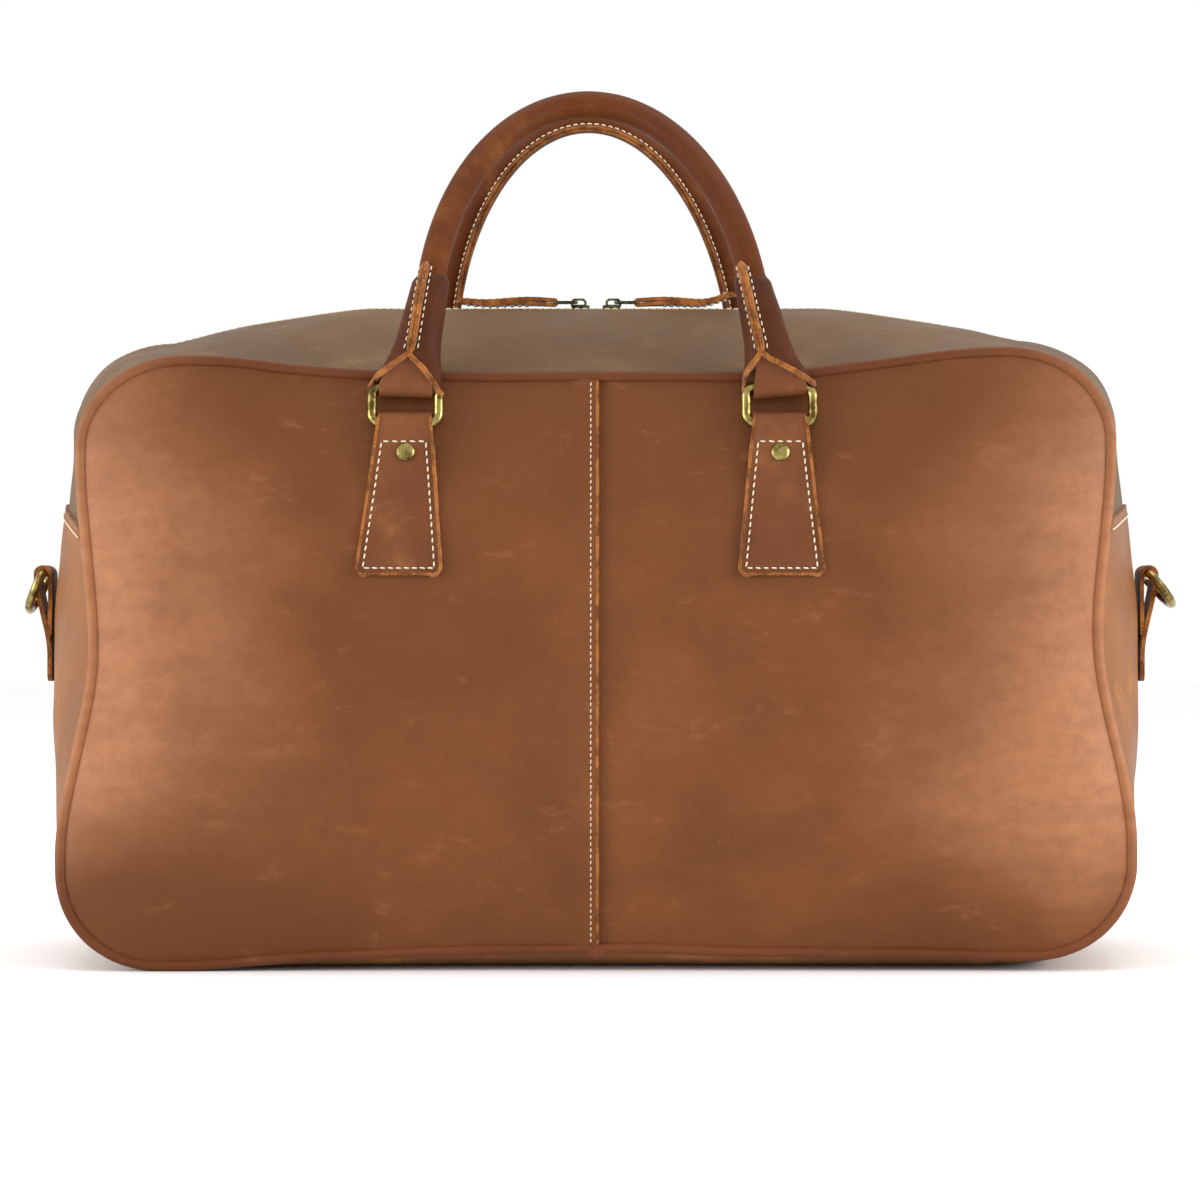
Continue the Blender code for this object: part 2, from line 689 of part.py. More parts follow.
# ---- hardware and straps ----
def build_tabs_and_rivets():
    """The trapezoid tabs, folded over each ring's lower bar, and the rivets through them."""
    bar_y, bar_z = LOWER_BAR
    for face, sy in FACES:
        for side, sx in SIDES:
            path = []
            for z in (TAB_BACK_Z, 0.250):
                path.append((z, GAP + LEATHER / 2, None))
            for i in range(7):
                angle = math.radians(30.0 * i)
                path.append((bar_z + LOOP_R * math.sin(angle), 0.0, bar_y - LOOP_R * math.cos(angle)))
            two_ply = 2 * GAP + 1.5 * LEATHER
            path.append((0.252, two_ply, None))
            path.append((TAB_BACK_Z, two_ply, None))
            path.append((TAB_BACK_Z - 0.010, GAP + 0.6 * LEATHER, None))
            path.append((0.210, GAP + 0.6 * LEATHER, None))
            path.append((TAB_BOTTOM_Z, GAP + 0.6 * LEATHER, None))
            rows = []
            for z, off, fixed in path:
                widen = ease((0.262 - z) / 0.075)
                half = mix(TAB_TOP_W, TAB_BOTTOM_W, widen) / 2
                if path.index((z, off, fixed)) < 2:
                    half = TAB_TOP_W / 2
                row = []
                for share in (-1.0, 0.0, 1.0):
                    x = RING_X + share * half
                    depth = fixed if fixed is not None else panel_surface(x, z) + off
                    row.append(Vector((sx * x, sy * depth, z)))
                rows.append(row)
            tab = sheet("handle_tab_%s_%s" % (face, side), rows, LEATHER, LEATHER_TAB, offset=0.0,
                        flip=(sx * sy > 0))
            boolean(tab, rivet_cutter("tab_hole_%s_%s" % (face, side), sx, sy), "DIFFERENCE")
            centre, direction = rivet_frame(sx, sy)
            grip = 3 * LEATHER + 4 * GAP
            seat = 2 * GAP
            profile = ((0.0038, -grip - 0.0008), (0.0038, -grip), (RIVET_POST_R, -grip),
                       (RIVET_POST_R, seat), (RIVET_CAP_R, seat), (RIVET_CAP_R, seat + 0.0007),
                       (0.0036, seat + 0.0013), (0.0018, seat + 0.0016))
            rod("rivet_%s_%s" % (face, side), centre, direction, profile, ANTIQUE_BRASS)


def build_rings():
    """Four rectangular rings, each on a tab's fold."""
    for face, sy in FACES:
        for side, sx in SIDES:
            low = Vector((0.0, sy * LOWER_BAR[0], LOWER_BAR[1]))
            high = Vector((0.0, sy * UPPER_BAR[0], UPPER_BAR[1]))
            up = (high - low).normalized()
            middle = (low + high) / 2
            half_h = (high - low).length / 2
            points = []
            for u, v in rounded_rectangle(RING_HALF_W, half_h, RING_BEND):
                points.append(Vector((sx * RING_X + u, 0.0, 0.0)) + middle + up * v)
            wire("ring_%s_%s" % (face, side), points, RING_BAR_R, ANTIQUE_BRASS, cyclic=True,
                 resolution=2, origin=Vector((sx * RING_X, low.y, low.z)))


def build_side_hardware():
    """The side chapes and the D-rings that hang in them."""
    for side, sx in SIDES:
        surface = max(skin(t, 0.0).x for t in steps(SEAM_T, 3.0, 12))
        bar_x = surface + 2 * GAP + LEATHER + GAP + D_BAR_R
        loop = D_BAR_R + GAP + LEATHER / 2
        path = [(bar_x - loop, CHAPE_BACK_Z), (bar_x - loop, CHAPE_TOP_Z)]
        for i in range(1, 6):
            angle = math.radians(180.0 - 30.0 * i)
            path.append((bar_x + loop * math.cos(angle), CHAPE_TOP_Z + loop * math.sin(angle)))
        path += [(bar_x + loop, CHAPE_TOP_Z), (bar_x + loop - 0.0004, CHAPE_BACK_Z + 0.004),
                 (surface + GAP * 2 + LEATHER / 2, CHAPE_BACK_Z - 0.010),
                 (surface + GAP * 2 + LEATHER / 2, CHAPE_BOTTOM_Z)]
        rows = [[Vector((sx * x, y, z)) for y in (-CHAPE_W / 2, CHAPE_W / 2)] for x, z in path]
        sheet("side_chape_" + side, rows, LEATHER, LEATHER_TAB, offset=0.0, flip=(sx < 0))
        pivot = Vector((sx * bar_x, 0.0, CHAPE_TOP_Z))
        down = Vector((sx * math.sin(D_TILT), 0.0, -math.cos(D_TILT)))
        points = [pivot + Vector((0.0, -D_HALF_W + 0.002, 0.0)), pivot + Vector((0.0, D_HALF_W - 0.002, 0.0)),
                  pivot + Vector((0.0, D_HALF_W, 0.0)) + down * 0.002]
        for i in range(10):
            angle = math.radians(20.0 * i)
            reach = 0.0045 + (D_DEPTH - 0.0045) * math.sin(angle)
            points.append(pivot + Vector((0.0, D_HALF_W * math.cos(angle), 0.0)) + down * reach)
        points.append(pivot + Vector((0.0, -D_HALF_W, 0.0)) + down * 0.002)
        wire("d_ring_" + side, points, D_BAR_R, ANTIQUE_BRASS, cyclic=True, resolution=2, origin=pivot)


# ---- handles ----
def leg_x(z):
    """Half spread of the handle's legs at a height."""
    height = min(1.0, (z - ARCH_Z) / ARCH_B)
    flare = LEG_FLARE * max(0.0, (LEG_FLARE_Z - z) / 0.0604) ** 1.6
    return ARCH_A * math.sqrt(max(0.0, 1.0 - height * height)) + flare


def lean_y(z):
    """Distance of the handle from the middle plane at a height."""
    span = ARCH_Z + ARCH_B - LEAN_Z
    return UPPER_BAR[0] - LEAN_AT_TOP * (max(0.0, z - LEAN_Z) / span) ** LEAN_POWER


def handle_heights(lowest, count):
    """Heights along a leg, spaced evenly round the arch and closer at the top."""
    first = math.asin((lowest - ARCH_Z) / ARCH_B)
    return [ARCH_Z + ARCH_B * math.sin(angle) for angle in steps(first, math.pi / 2, count)]


def handle_path(lowest, sy, count=11):
    """The handle's centre line from one leg's end to the other."""
    leg = [Vector((leg_x(z), sy * lean_y(z), z)) for z in handle_heights(lowest, count)]
    return leg + [Vector((-p.x, p.y, p.z)) for p in leg[-2::-1]]


def build_wrap(name, sx, sy, pivot):
    """A sleeve on the handle's end: a fold over the ring's bar that opens into a round socket."""
    sections = ((0.2748, 0.0116, 0.0026), (0.2772, 0.0124, 0.0044), (0.2822, 0.0124, 0.0050),
                (0.2900, 0.0122, 0.0058), (0.3010, 0.0112, 0.0088), (0.3160, 0.0104, 0.0100),
                (WRAP_TOP_Z, 0.0096, 0.0096))
    rows = []
    for z, half_x, half_y in sections:
        row = []
        for i in range(12):
            angle = 2.0 * math.pi * i / 12
            squareness = mix(2.0 / 3.4, 1.0, ease((z - 0.285) / 0.03))
            u = math.copysign(abs(math.cos(angle)) ** squareness, math.cos(angle)) * half_x
            v = math.copysign(abs(math.sin(angle)) ** squareness, math.sin(angle)) * half_y
            row.append(Vector((sx * leg_x(max(z, 0.2796)) + u, sy * lean_y(z) + v, z)))
        rows.append(row)
    bm = grid(rows, closed=True)
    bmesh.ops.holes_fill(bm, edges=bm.edges, sides=12)
    bmesh.ops.recalc_face_normals(bm, faces=bm.faces)
    wrap = add(name, mesh_from(bm, name), LEATHER_HANDLE, pivot)
    bar = (Vector((sx * RING_X - 0.03, sy * UPPER_BAR[0], UPPER_BAR[1])),
           Vector((sx * RING_X + 0.03, sy * UPPER_BAR[0], UPPER_BAR[1])))
    hole = wire("bar_hole_" + name, bar, RING_BAR_R + GAP + 0.0001, ANTIQUE_BRASS, resolution=4)
    boolean(wrap, make_cutter(curve_to_mesh(hole)), "DIFFERENCE")
    low_z = TUBE_END_Z - 2 * GAP
    socket = [Vector((sx * leg_x(low_z), sy * lean_y(low_z), low_z))]
    for point in handle_path(TUBE_END_Z, sy):
        if point.x > 0.0 and point.z < WRAP_TOP_Z + 0.03:
            socket.append(Vector((sx * point.x, point.y, point.z)))
    bore = wire("socket_" + name, socket, TUBE_R + GAP + 0.0002, LEATHER_HANDLE, resolution=3)
    boolean(wrap, make_cutter(curve_to_mesh(bore)), "DIFFERENCE")
    return wrap


def build_handles():
    """Each handle: a leather tube on a cord core, with a wrap at both ends."""
    for face, sy in FACES:
        pivot = Vector((0.0, sy * UPPER_BAR[0], UPPER_BAR[1]))
        tube = wire("handle_tube_" + face, handle_path(TUBE_END_Z, sy), TUBE_R, LEATHER_HANDLE,
                    resolution=2, origin=pivot)
        tube.data.use_fill_caps = False
        wall = tube.modifiers.new("wall", "SOLIDIFY")
        wall.thickness = TUBE_WALL
        wall.offset = -1.0
        wire("handle_core_" + face, handle_path(TUBE_END_Z + 0.001, sy), CORE_R, CORE_CORD, origin=pivot)
        for side, sx in SIDES:
            build_wrap("handle_wrap_%s_%s" % (face, side), sx, sy, pivot)


# ---- inside ----
def build_lining():
    """An open tub of cloth: two faces and the wall that joins them."""
    inset = 0.0062
    face_y = 0.0985
    high_z = 0.2740
    half = [(x, z) for x, z in half_outline(inset) if z <= high_z]
    loop = half + [(-x, z) for x, z in half[-2::-1]]
    bm = bmesh.new()
    walls = []
    for y in (-face_y, 0.0, face_y):
        walls.append([bm.verts.new((x, y, z)) for x, z in loop])
    for one, two in zip(walls, walls[1:]):
        for i in range(len(loop) - 1):
            bm.faces.new([one[i], one[i + 1], two[i + 1], two[i]])
    for wall in (walls[0], walls[-1]):
        bm.faces.new(wall)
    bmesh.ops.triangulate(bm, faces=[face for face in bm.faces if len(face.verts) > 4])
    bmesh.ops.recalc_face_normals(bm, faces=bm.faces)
    obj = add("lining", mesh_from(bm, "lining"), LINING_CLOTH)
    modifier = obj.modifiers.new("thickness", "SOLIDIFY")
    modifier.thickness = CLOTH
    modifier.offset = -1.0


def build_base_board():
    """The stiff board that lies on the lining."""
    bm = bmesh.new()
    half_x, half_y, thick = BOARD
    low = max(z for x, z in half_outline(0.0062) if x < half_x and z < 0.05) + CLOTH + 0.001
    placed = Matrix.Translation((0.0, 0.0, low + thick / 2)) @ Matrix.Diagonal(
        (2 * half_x, 2 * half_y, thick, 1.0))
    bmesh.ops.create_cube(bm, size=1.0, matrix=placed)
    add("base_board", mesh_from(bm, "base_board"), BOARD_FIBRE)


def build():
    build_panels()
    build_piping()
    build_gussets()
    build_band_ends()
    build_zip_ends()
    build_mouth()
    build_sliders()
    build_pullers()
    build_tabs_and_rivets()
    build_rings()
    build_side_hardware()
    build_handles()
    build_lining()
    build_base_board()
    for obj in bpy.context.selected_objects:
        obj.select_set(False)


build()
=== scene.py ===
"""Looks of the leather holdall: detailed leather, stitching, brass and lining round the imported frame.

Metres, +Z up. X runs along the zip, -Y is the front, and the bag stands on z = 0.
"""

import json
import math

import bpy
import numpy as np
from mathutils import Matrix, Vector, noise


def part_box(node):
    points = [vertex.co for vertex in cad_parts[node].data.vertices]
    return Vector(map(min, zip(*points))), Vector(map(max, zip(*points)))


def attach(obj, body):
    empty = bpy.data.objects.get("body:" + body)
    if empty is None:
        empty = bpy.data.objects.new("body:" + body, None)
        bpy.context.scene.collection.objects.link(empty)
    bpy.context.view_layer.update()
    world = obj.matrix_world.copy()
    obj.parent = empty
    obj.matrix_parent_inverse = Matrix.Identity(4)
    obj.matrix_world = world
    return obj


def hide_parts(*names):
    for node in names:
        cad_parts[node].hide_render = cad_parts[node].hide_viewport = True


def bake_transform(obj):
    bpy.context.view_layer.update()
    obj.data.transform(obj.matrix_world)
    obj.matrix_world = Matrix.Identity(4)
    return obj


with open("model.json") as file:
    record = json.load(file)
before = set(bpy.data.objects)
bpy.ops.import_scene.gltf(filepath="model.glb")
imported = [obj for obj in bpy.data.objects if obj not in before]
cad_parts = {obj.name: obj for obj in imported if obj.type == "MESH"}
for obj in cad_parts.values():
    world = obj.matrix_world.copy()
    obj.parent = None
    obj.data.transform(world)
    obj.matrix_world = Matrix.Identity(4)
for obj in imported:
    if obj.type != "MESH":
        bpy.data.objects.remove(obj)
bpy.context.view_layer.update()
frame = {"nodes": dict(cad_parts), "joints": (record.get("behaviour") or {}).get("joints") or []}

SIDES = (("left", -1), ("right", 1))
FACES = (("front", -1), ("rear", 1))

# ---- sizes shared with the frame ----
PIPING_Y = 0.105            # each piping line's distance from the middle plane
PIPING_R = 0.0027
LEATHER = 0.0022            # the thickness of the gussets and base
TOP_CENTRE_Z = 0.2853
TOP_RISE = 0.0105
TOP_FLAT_X = 0.08
SIDE_TOP_X = 0.2475
SIDE_PINCH = 0.0065
SIDE_FLARE = 0.0095
TOP_CORNER = (0.051, 0.042)
BOTTOM_CORNER = (0.0456, 0.044)
BOTTOM_Z = 0.0028
BOTTOM_ARCH = 0.0045
RIDGE_Z = 0.3267
RIDGE_END_X = 0.2145
MID_CORNER_X = 0.0475
MID_HIGH_Z = 0.265
MID_SIDE_X = 0.2620
MID_SWELL = 0.0125
MID_BOTTOM_CORNER = (0.062, 0.060)
SEAM_Z = 0.208
MOUTH_X = 0.19
BASE_X = 0.19
ZIP_EDGE_Y = 0.007
TAPE_Y = 0.013
TAPE_DROP = 0.0031
RING_X = 0.0895
LOWER_BAR = (0.1175, 0.2626)
UPPER_BAR = (0.1140, 0.2796)
RING_HALF_W = 0.01595
RING_BEND = 0.0045
RING_WIRE = 0.0025
RIVET_Z = 0.2486
ARCH_A = 0.0798
ARCH_B = 0.1255
ARCH_Z = 0.300
TUBE_R = 0.0068
ROPE_R = 0.0043
FIN_REACH = TUBE_R + 0.0050      # how far the fin stands from the tube's middle
FIN_LOW_Z = 0.333

# ---- sizes of the looks ----
RIM_DROP_LEFT = 0.0030      # the front sags here near its top left corner
RIM_LIFT_RIGHT = 0.0012
BASE_LIFT = 0.0036          # the piping lifts at the middle of the base
BASE_LIFT_RIGHT = 0.0050
BULGE = 0.0172
LAP = 0.0017                # how proud the left half stands where it laps over the right
STITCH_R = 0.00042
STITCH_LIFT = 0.00012       # how far a stitch stands off the leather
# a stitch's rings: share of its length, size, and how far each lies in the leather
STITCH_SECTIONS = ((-0.5, 0.45, -0.7), (-0.28, 0.95, 0.0), (0.28, 1.0, 0.0), (0.5, 0.45, -0.7))
PANEL_PLY = 0.0018          # also of the pullers and the folds in the wraps
BAND_PLY = LEATHER * 0.8
WELT_PLY = 0.0012
CLOTH_PLY = 0.0008
TAPE_PLY = 0.0007
STRAP_PLY = 0.0021          # tabs and chapes
WRAP_PLY = 0.0016
TAPE_COLUMNS = (0.0003, 0.0025, 0.007, TAPE_Y)
SEAM_LAP = 0.035            # how far the gusset laps over the band, as a share of the side
BAND_SOFT = 0.0019          # depth of the soft folds
GUSSET_SOFT = 0.0012

# ---- numbers of a piece's finishes ----
SMOOTH, BACK, CUT, SEWN = 0, 1, 2, 3
CLOTH_KINDS = (SMOOTH, SMOOTH, SMOOTH)


def ease(value):
    """0 below 0, 1 above 1, smooth between."""
    value = min(1.0, max(0.0, value))
    return value * value * (3.0 - 2.0 * value)


def mix(a, b, share):
    return a + (b - a) * share


def steps(first, last, count):
    """Evenly spaced values from first to last."""
    return [mix(first, last, i / (count - 1)) for i in range(count)]


def rough(x, y, z, size, seed=0.0):
    """Smooth noise from about -1 to 1, with features of a size in metres."""
    return noise.noise(Vector((x / size + seed * 7.31, y / size - seed * 3.7, z / size + seed * 1.9)))


# ---- outline of the bag ----
def top_z(x):
    return TOP_CENTRE_Z + TOP_RISE * ease((abs(x) - TOP_FLAT_X) / 0.115)


def bottom_z(x):
    return BOTTOM_Z + BOTTOM_ARCH * (1.0 - ease(abs(x) / 0.2))


def side_x(z):
    waist = ease((0.250 - z) / 0.09)
    flare = ease((0.155 - z) / 0.10)
    return SIDE_TOP_X - SIDE_PINCH * waist + (SIDE_PINCH + SIDE_FLARE) * flare


TOP_END_X = SIDE_TOP_X - TOP_CORNER[0]
SIDE_HIGH_Z = top_z(TOP_END_X) - TOP_CORNER[1]
SIDE_LOW_Z = BOTTOM_Z + BOTTOM_CORNER[1]
BOTTOM_END_X = side_x(SIDE_LOW_Z) - BOTTOM_CORNER[0]
MOUTH_T = MOUTH_X / TOP_END_X
SEAM_T = 2.0 + (SIDE_HIGH_Z - SEAM_Z) / (SIDE_HIGH_Z - SIDE_LOW_Z)
BASE_T = 4.0 + (BOTTOM_END_X - BASE_X) / BOTTOM_END_X
CORNER_HIGH_T = 1.5
CORNER_LOW_T = 3.5


def even_rim(t):
    """Half outline of the piping: t runs 0-1 top, 1-2 corner, 2-3 side, 3-4 corner, 4-5 base."""
    if t <= 1.0:
        x = t * TOP_END_X
        return x, top_z(x)
    if t <= 2.0:
        angle = math.radians(90.0 * (2.0 - t))
        x = TOP_END_X + TOP_CORNER[0] * math.cos(angle)
        return x, SIDE_HIGH_Z + TOP_CORNER[1] * math.sin(angle)
    if t <= 3.0:
        z = mix(SIDE_HIGH_Z, SIDE_LOW_Z, t - 2.0)
        return side_x(z), z
    if t <= 4.0:
        angle = math.radians(90.0 * (t - 3.0))
        x = BOTTOM_END_X + BOTTOM_CORNER[0] * math.cos(angle)
        return x, SIDE_LOW_Z - BOTTOM_CORNER[1] * math.sin(angle)
    x = BOTTOM_END_X * (5.0 - t)
    return x, bottom_z(x)


def rim(t, side):
    """A point of the piping outline, x away from the middle and z, with the bag's own unevenness."""
    x, z = even_rim(t)
    if side < 0:
        high = -RIM_DROP_LEFT * ease((x - 0.07) / 0.09)
        low = BASE_LIFT * (1.0 - ease((x - 0.12) / 0.08))
    else:
        high = RIM_LIFT_RIGHT * ease((x - 0.07) / 0.09)
        low = mix(BASE_LIFT, BASE_LIFT_RIGHT, ease((x - 0.07) / 0.09))
    down = ease(t - 2.0)
    wave = 0.0006 * rough(side * x, 0.0, z, 0.045) if 0.05 < t < 4.95 else 0.0
    return x + wave, z + mix(high, low, down) + wave


def outward(t, side):
    """Unit normal of the outline, pointing out of the bag."""
    x0, z0 = rim(max(0.0, t - 0.02), side)
    x1, z1 = rim(min(5.0, t + 0.02), side)
    length = math.hypot(x1 - x0, z1 - z0)
    return -(z1 - z0) / length, (x1 - x0) / length


def ridge_top(x):
    """Height of the zip's ridge: flat in the middle, then falling towards the ends."""
    beyond = max(0.0, x - 0.11)
    return RIDGE_Z - 0.175 * (math.hypot(beyond, 0.015) - 0.015) - 0.003 * ease((x - 0.17) / 0.05)


def mid_side_x(z):
    swell = ease((MID_HIGH_Z - z) / 0.10) * (1.0 - ease((0.125 - z) / 0.12))
    return MID_SIDE_X + MID_SWELL * swell


MID_BOTTOM_END_X = mid_side_x(MID_BOTTOM_CORNER[1]) - MID_BOTTOM_CORNER[0]


def mid(t):
    """The half outline at mid depth."""
    if t <= 1.0:
        x = t * TOP_END_X if t <= MOUTH_T else mix(MOUTH_X, RIDGE_END_X, (t - MOUTH_T) / (1.0 - MOUTH_T))
        return x, ridge_top(x)
    if t <= 2.0:
        angle = math.radians(90.0 * (2.0 - t))
        high = ridge_top(RIDGE_END_X) - MID_HIGH_Z
        return RIDGE_END_X + MID_CORNER_X * math.cos(angle), MID_HIGH_Z + high * math.sin(angle)
    if t <= 3.0:
        z = mix(MID_HIGH_Z, MID_BOTTOM_CORNER[1], t - 2.0)
        return mid_side_x(z), z
    if t <= 4.0:
        angle = math.radians(90.0 * (t - 3.0))
        x = MID_BOTTOM_END_X + MID_BOTTOM_CORNER[0] * math.cos(angle)
        return x, MID_BOTTOM_CORNER[1] * (1.0 - math.sin(angle))
    share = min(1.0, (t - 4.0) / (BASE_T - 4.0))
    return mix(MID_BOTTOM_END_X, BASE_X * (5.0 - t) / (5.0 - BASE_T), share), 0.0


def skin(t, depth, side, inset=0.0, soft=0.0):
    """A point on the band, gusset or base. inset moves it inwards, and soft adds the leather's folds."""
    px, pz = rim(t, side)
    nx, nz = outward(t, side)
    mx, mz = mid(t)
    share = min(1.0, abs(depth) / PIPING_Y)
    power = mix(1.35, 1.5, ease(t - 1.0)) + 6.0 * ease(t - 3.3)
    rise = 1.0 - share ** power
    x = mix(px + nx * LEATHER / 2, mx, rise)
    z = mix(pz + nz * LEATHER / 2, mz, rise)
    if soft:
        free = (1.0 - share ** 4) * (1.0 - ease((t - 3.6) / 0.6))
        fold = rough(side * x, depth, z, 0.055, 2.0) + 0.5 * rough(side * x, depth * 0.6, z, 0.024, 5.0)
        inset = inset - soft * free * fold * ease((abs(depth) - 0.004) / 0.03)
    return Vector((side * (x - nx * inset), depth, z - nz * inset))


def panel_depth(x, z):
    """Distance of the panel's outer face from the middle plane, worked out for places away from the rim."""
    high = 2.0 * (z - BOTTOM_Z) / (TOP_CENTRE_Z - BOTTOM_Z) - 1.0
    return bulge(min(1.0, abs(x) / 0.245), min(1.0, abs(high)))


def bulge(u, v):
    return PIPING_Y + 0.0008 + BULGE * (1.0 - u ** 3.2) * (1.0 - v ** 2.6)


# ---- mesh helpers ----
def inward(points, faces):
    """True if a closed part's faces look inwards, from the sign of its volume."""
    spots = np.array([tuple(point) for point in points])
    spots -= spots.mean(axis=0)
    corners = np.array([(face[0], face[k], face[k + 1]) for face in faces for k in range(1, len(face) - 1)])
    a, b, c = spots[corners[:, 0]], spots[corners[:, 1]], spots[corners[:, 2]]
    return float(np.einsum("ij,ij->", a, np.cross(b, c))) < 0.0


class Form:
    """Points and faces gathered for one piece, each face with the number of its finish."""

    def __init__(self):
        self.points = []
        self.faces = []
        self.finish = []
        self.sharp = set()

    def add(self, points, faces, finish=0, sharp=(), solid=True):
        """Add a part. A solid part whose faces look inwards is turned inside out."""
        if solid and inward(points, faces):
            faces = [face[::-1] for face in faces]
        first = len(self.points)
        self.points += [tuple(point) for point in points]
        self.faces += [tuple(first + i for i in face) for face in faces]
        self.finish += [finish] * len(faces) if isinstance(finish, int) else list(finish)
        self.sharp |= {tuple(sorted((first + a, first + b))) for a, b in sharp}

    def make(self, name, finishes):
        """Turn what was gathered into an object."""
        data = bpy.data.meshes.new(name)
        data.from_pydata(self.points, [], self.faces)
        for finish in finishes:
            data.materials.append(finish)
        data.polygons.foreach_set("material_index", self.finish)
        data.polygons.foreach_set("use_smooth", [True] * len(data.polygons))
        if self.sharp:
            marks = data.attributes.new("sharp_edge", "BOOLEAN", "EDGE")
            for edge in data.edges:
                marks.data[edge.index].value = tuple(sorted(edge.vertices)) in self.sharp
        data.update()
        obj = bpy.data.objects.new(name, data)
        bpy.context.scene.collection.objects.link(obj)
        return obj


def surface_normals(points, closed):
    """Unit normals of a grid of points, as rows and columns."""
    if closed:
        along = np.roll(points, -1, axis=1) - np.roll(points, 1, axis=1)
    else:
        along = np.gradient(points, axis=1)
    normal = np.cross(along, np.gradient(points, axis=0))
    size = np.linalg.norm(normal, axis=2, keepdims=True)
    return normal / np.maximum(size, 1e-12)


def shell(rows, thickness, kinds=(SMOOTH, BACK, CUT), flip=False, rims="tblr", closed=False):
    """A sheet with thickness. The rows are its outer face. kinds: outer, inner and edge finish."""
    outer, inner, edge = kinds
    points = np.array([[tuple(point) for point in row] for row in rows])
    count, width = points.shape[:2]
    normal = surface_normals(points, closed) * (-1.0 if flip else 1.0)
    back = points - normal * thickness
    offset = count * width
    faces, finish, sharp = [], [], []
    columns = width if closed else width - 1

    def place_face(face, kind):
        faces.append(face[::-1] if flip else face)
        finish.append(kind)

    for i in range(count - 1):
        for j in range(columns):
            k = (j + 1) % width
            a, b, c, d = i * width + j, i * width + k, (i + 1) * width + k, (i + 1) * width + j
            place_face((a, b, c, d), outer)
            place_face((offset + d, offset + c, offset + b, offset + a), inner)
    rim_edges = []
    for letter, row, turn in (("t", 0, 1), ("b", count - 1, -1)):
        for j in range(columns if letter in rims else 0):
            rim_edges.append((row * width + (j + 1) % width, row * width + j, turn))
    for letter, column, turn in (("l", 0, 1), ("r", width - 1, -1)):
        for i in range(count - 1 if letter in rims and not closed else 0):
            rim_edges.append((i * width + column, (i + 1) * width + column, turn))
    for a, b, turn in rim_edges:
        place_face((a, b, offset + b, offset + a)[::turn], edge)
        sharp += [(a, b), (offset + a, offset + b)]
    form = Form()
    form.add(np.concatenate([points.reshape(-1, 3), back.reshape(-1, 3)]), faces, finish, sharp, solid=False)
    return form


def frames(points, up):
    """The points of a path, each with its directions across the path and up from it."""
    made = []
    for i, point in enumerate(points):
        tangent = (points[min(i + 1, len(points) - 1)] - points[max(i - 1, 0)]).normalized()
        guide = up[i] if isinstance(up, list) else up
        across = tangent.cross(guide).normalized()
        made.append((point, across, across.cross(tangent).normalized()))
    return made


def tube(form, rings, finish=0, ends="capped"):
    """A surface through rings of points, with its ends capped, open or joined."""
    size, count = len(rings[0]), len(rings)
    kinds = finish if isinstance(finish, list) else [finish] * size
    faces, numbers = [], []
    for i in range(count if ends == "joined" else count - 1):
        j = (i + 1) % count
        for k in range(size):
            m = (k + 1) % size
            faces.append((i * size + k, i * size + m, j * size + m, j * size + k))
            numbers.append(kinds[k])
    if ends == "capped":
        last = (count - 1) * size
        faces += [tuple(range(size))[::-1], tuple(range(last, last + size))]
        numbers += [kinds[0]] * 2
    form.add([point for ring in rings for point in ring], faces, numbers)
    return form


def round_rings(points, ups, sides, radius_at):
    """Rings round a path, whose radius depends on the ring's number, its middle and the angle."""
    rings = []
    for i, (point, across, rise) in enumerate(frames(points, ups)):
        ring = []
        for k in range(sides):
            angle = 2 * math.pi * k / sides
            radius = radius_at(i, point, angle)
            ring.append(point + across * (radius * math.cos(angle)) + rise * (radius * math.sin(angle)))
        rings.append(ring)
    return rings


def closed_wire(loop, radius, normal, sides=18, swell=lambda point: 1.0):
    """A closed wire or piping whose path lies in one plane."""
    normal = normal.normalized()
    rings = []
    for i, point in enumerate(loop):
        tangent = (loop[(i + 1) % len(loop)] - loop[i - 1]).normalized()
        across = tangent.cross(normal).normalized()
        size = swell(point)
        rings.append([point + across * (u * size) + normal * (v * size)
                      for u, v in round_profile(radius, sides)])
    return tube(Form(), rings, ends="joined")


def round_profile(radius, sides):
    return [(radius * math.cos(2 * math.pi * i / sides), radius * math.sin(2 * math.pi * i / sides))
            for i in range(sides)]


def measure(points):
    """Running length along a path."""
    total = [0.0]
    for one, two in zip(points, points[1:]):
        total.append(total[-1] + (two - one).length)
    return total


def stitches(form, points, up, pitch=0.0031, length=0.0023, radius=STITCH_R, finish=0):
    """Short thread stitches along a path that lies on a surface, whose normals are up."""
    total = measure(points)
    count = max(1, int(total[-1] / pitch))
    profile = round_profile(1.0, 6)
    k = 0
    for number in range(count):
        middle = (number + 0.5) * total[-1] / count
        while k < len(total) - 2 and total[k + 1] < middle:
            k += 1
        share = (middle - total[k]) / max(1e-9, total[k + 1] - total[k])
        centre = points[k].lerp(points[k + 1], share)
        tangent = (points[k + 1] - points[k]).normalized()
        rise = (up[k] if isinstance(up, list) else up).normalized()
        across = tangent.cross(rise).normalized()
        rise = across.cross(tangent)
        tilt = across * (0.10 * length * (1.0 if number % 2 else 0.6))
        rings = []
        for along, size, sink in STITCH_SECTIONS:
            base = centre + tangent * (along * length) + tilt * along + rise * (STITCH_LIFT + sink * radius)
            rings.append([base + (across * u + rise * v) * (radius * size) for u, v in profile])
        tube(form, rings, finish)
    return form


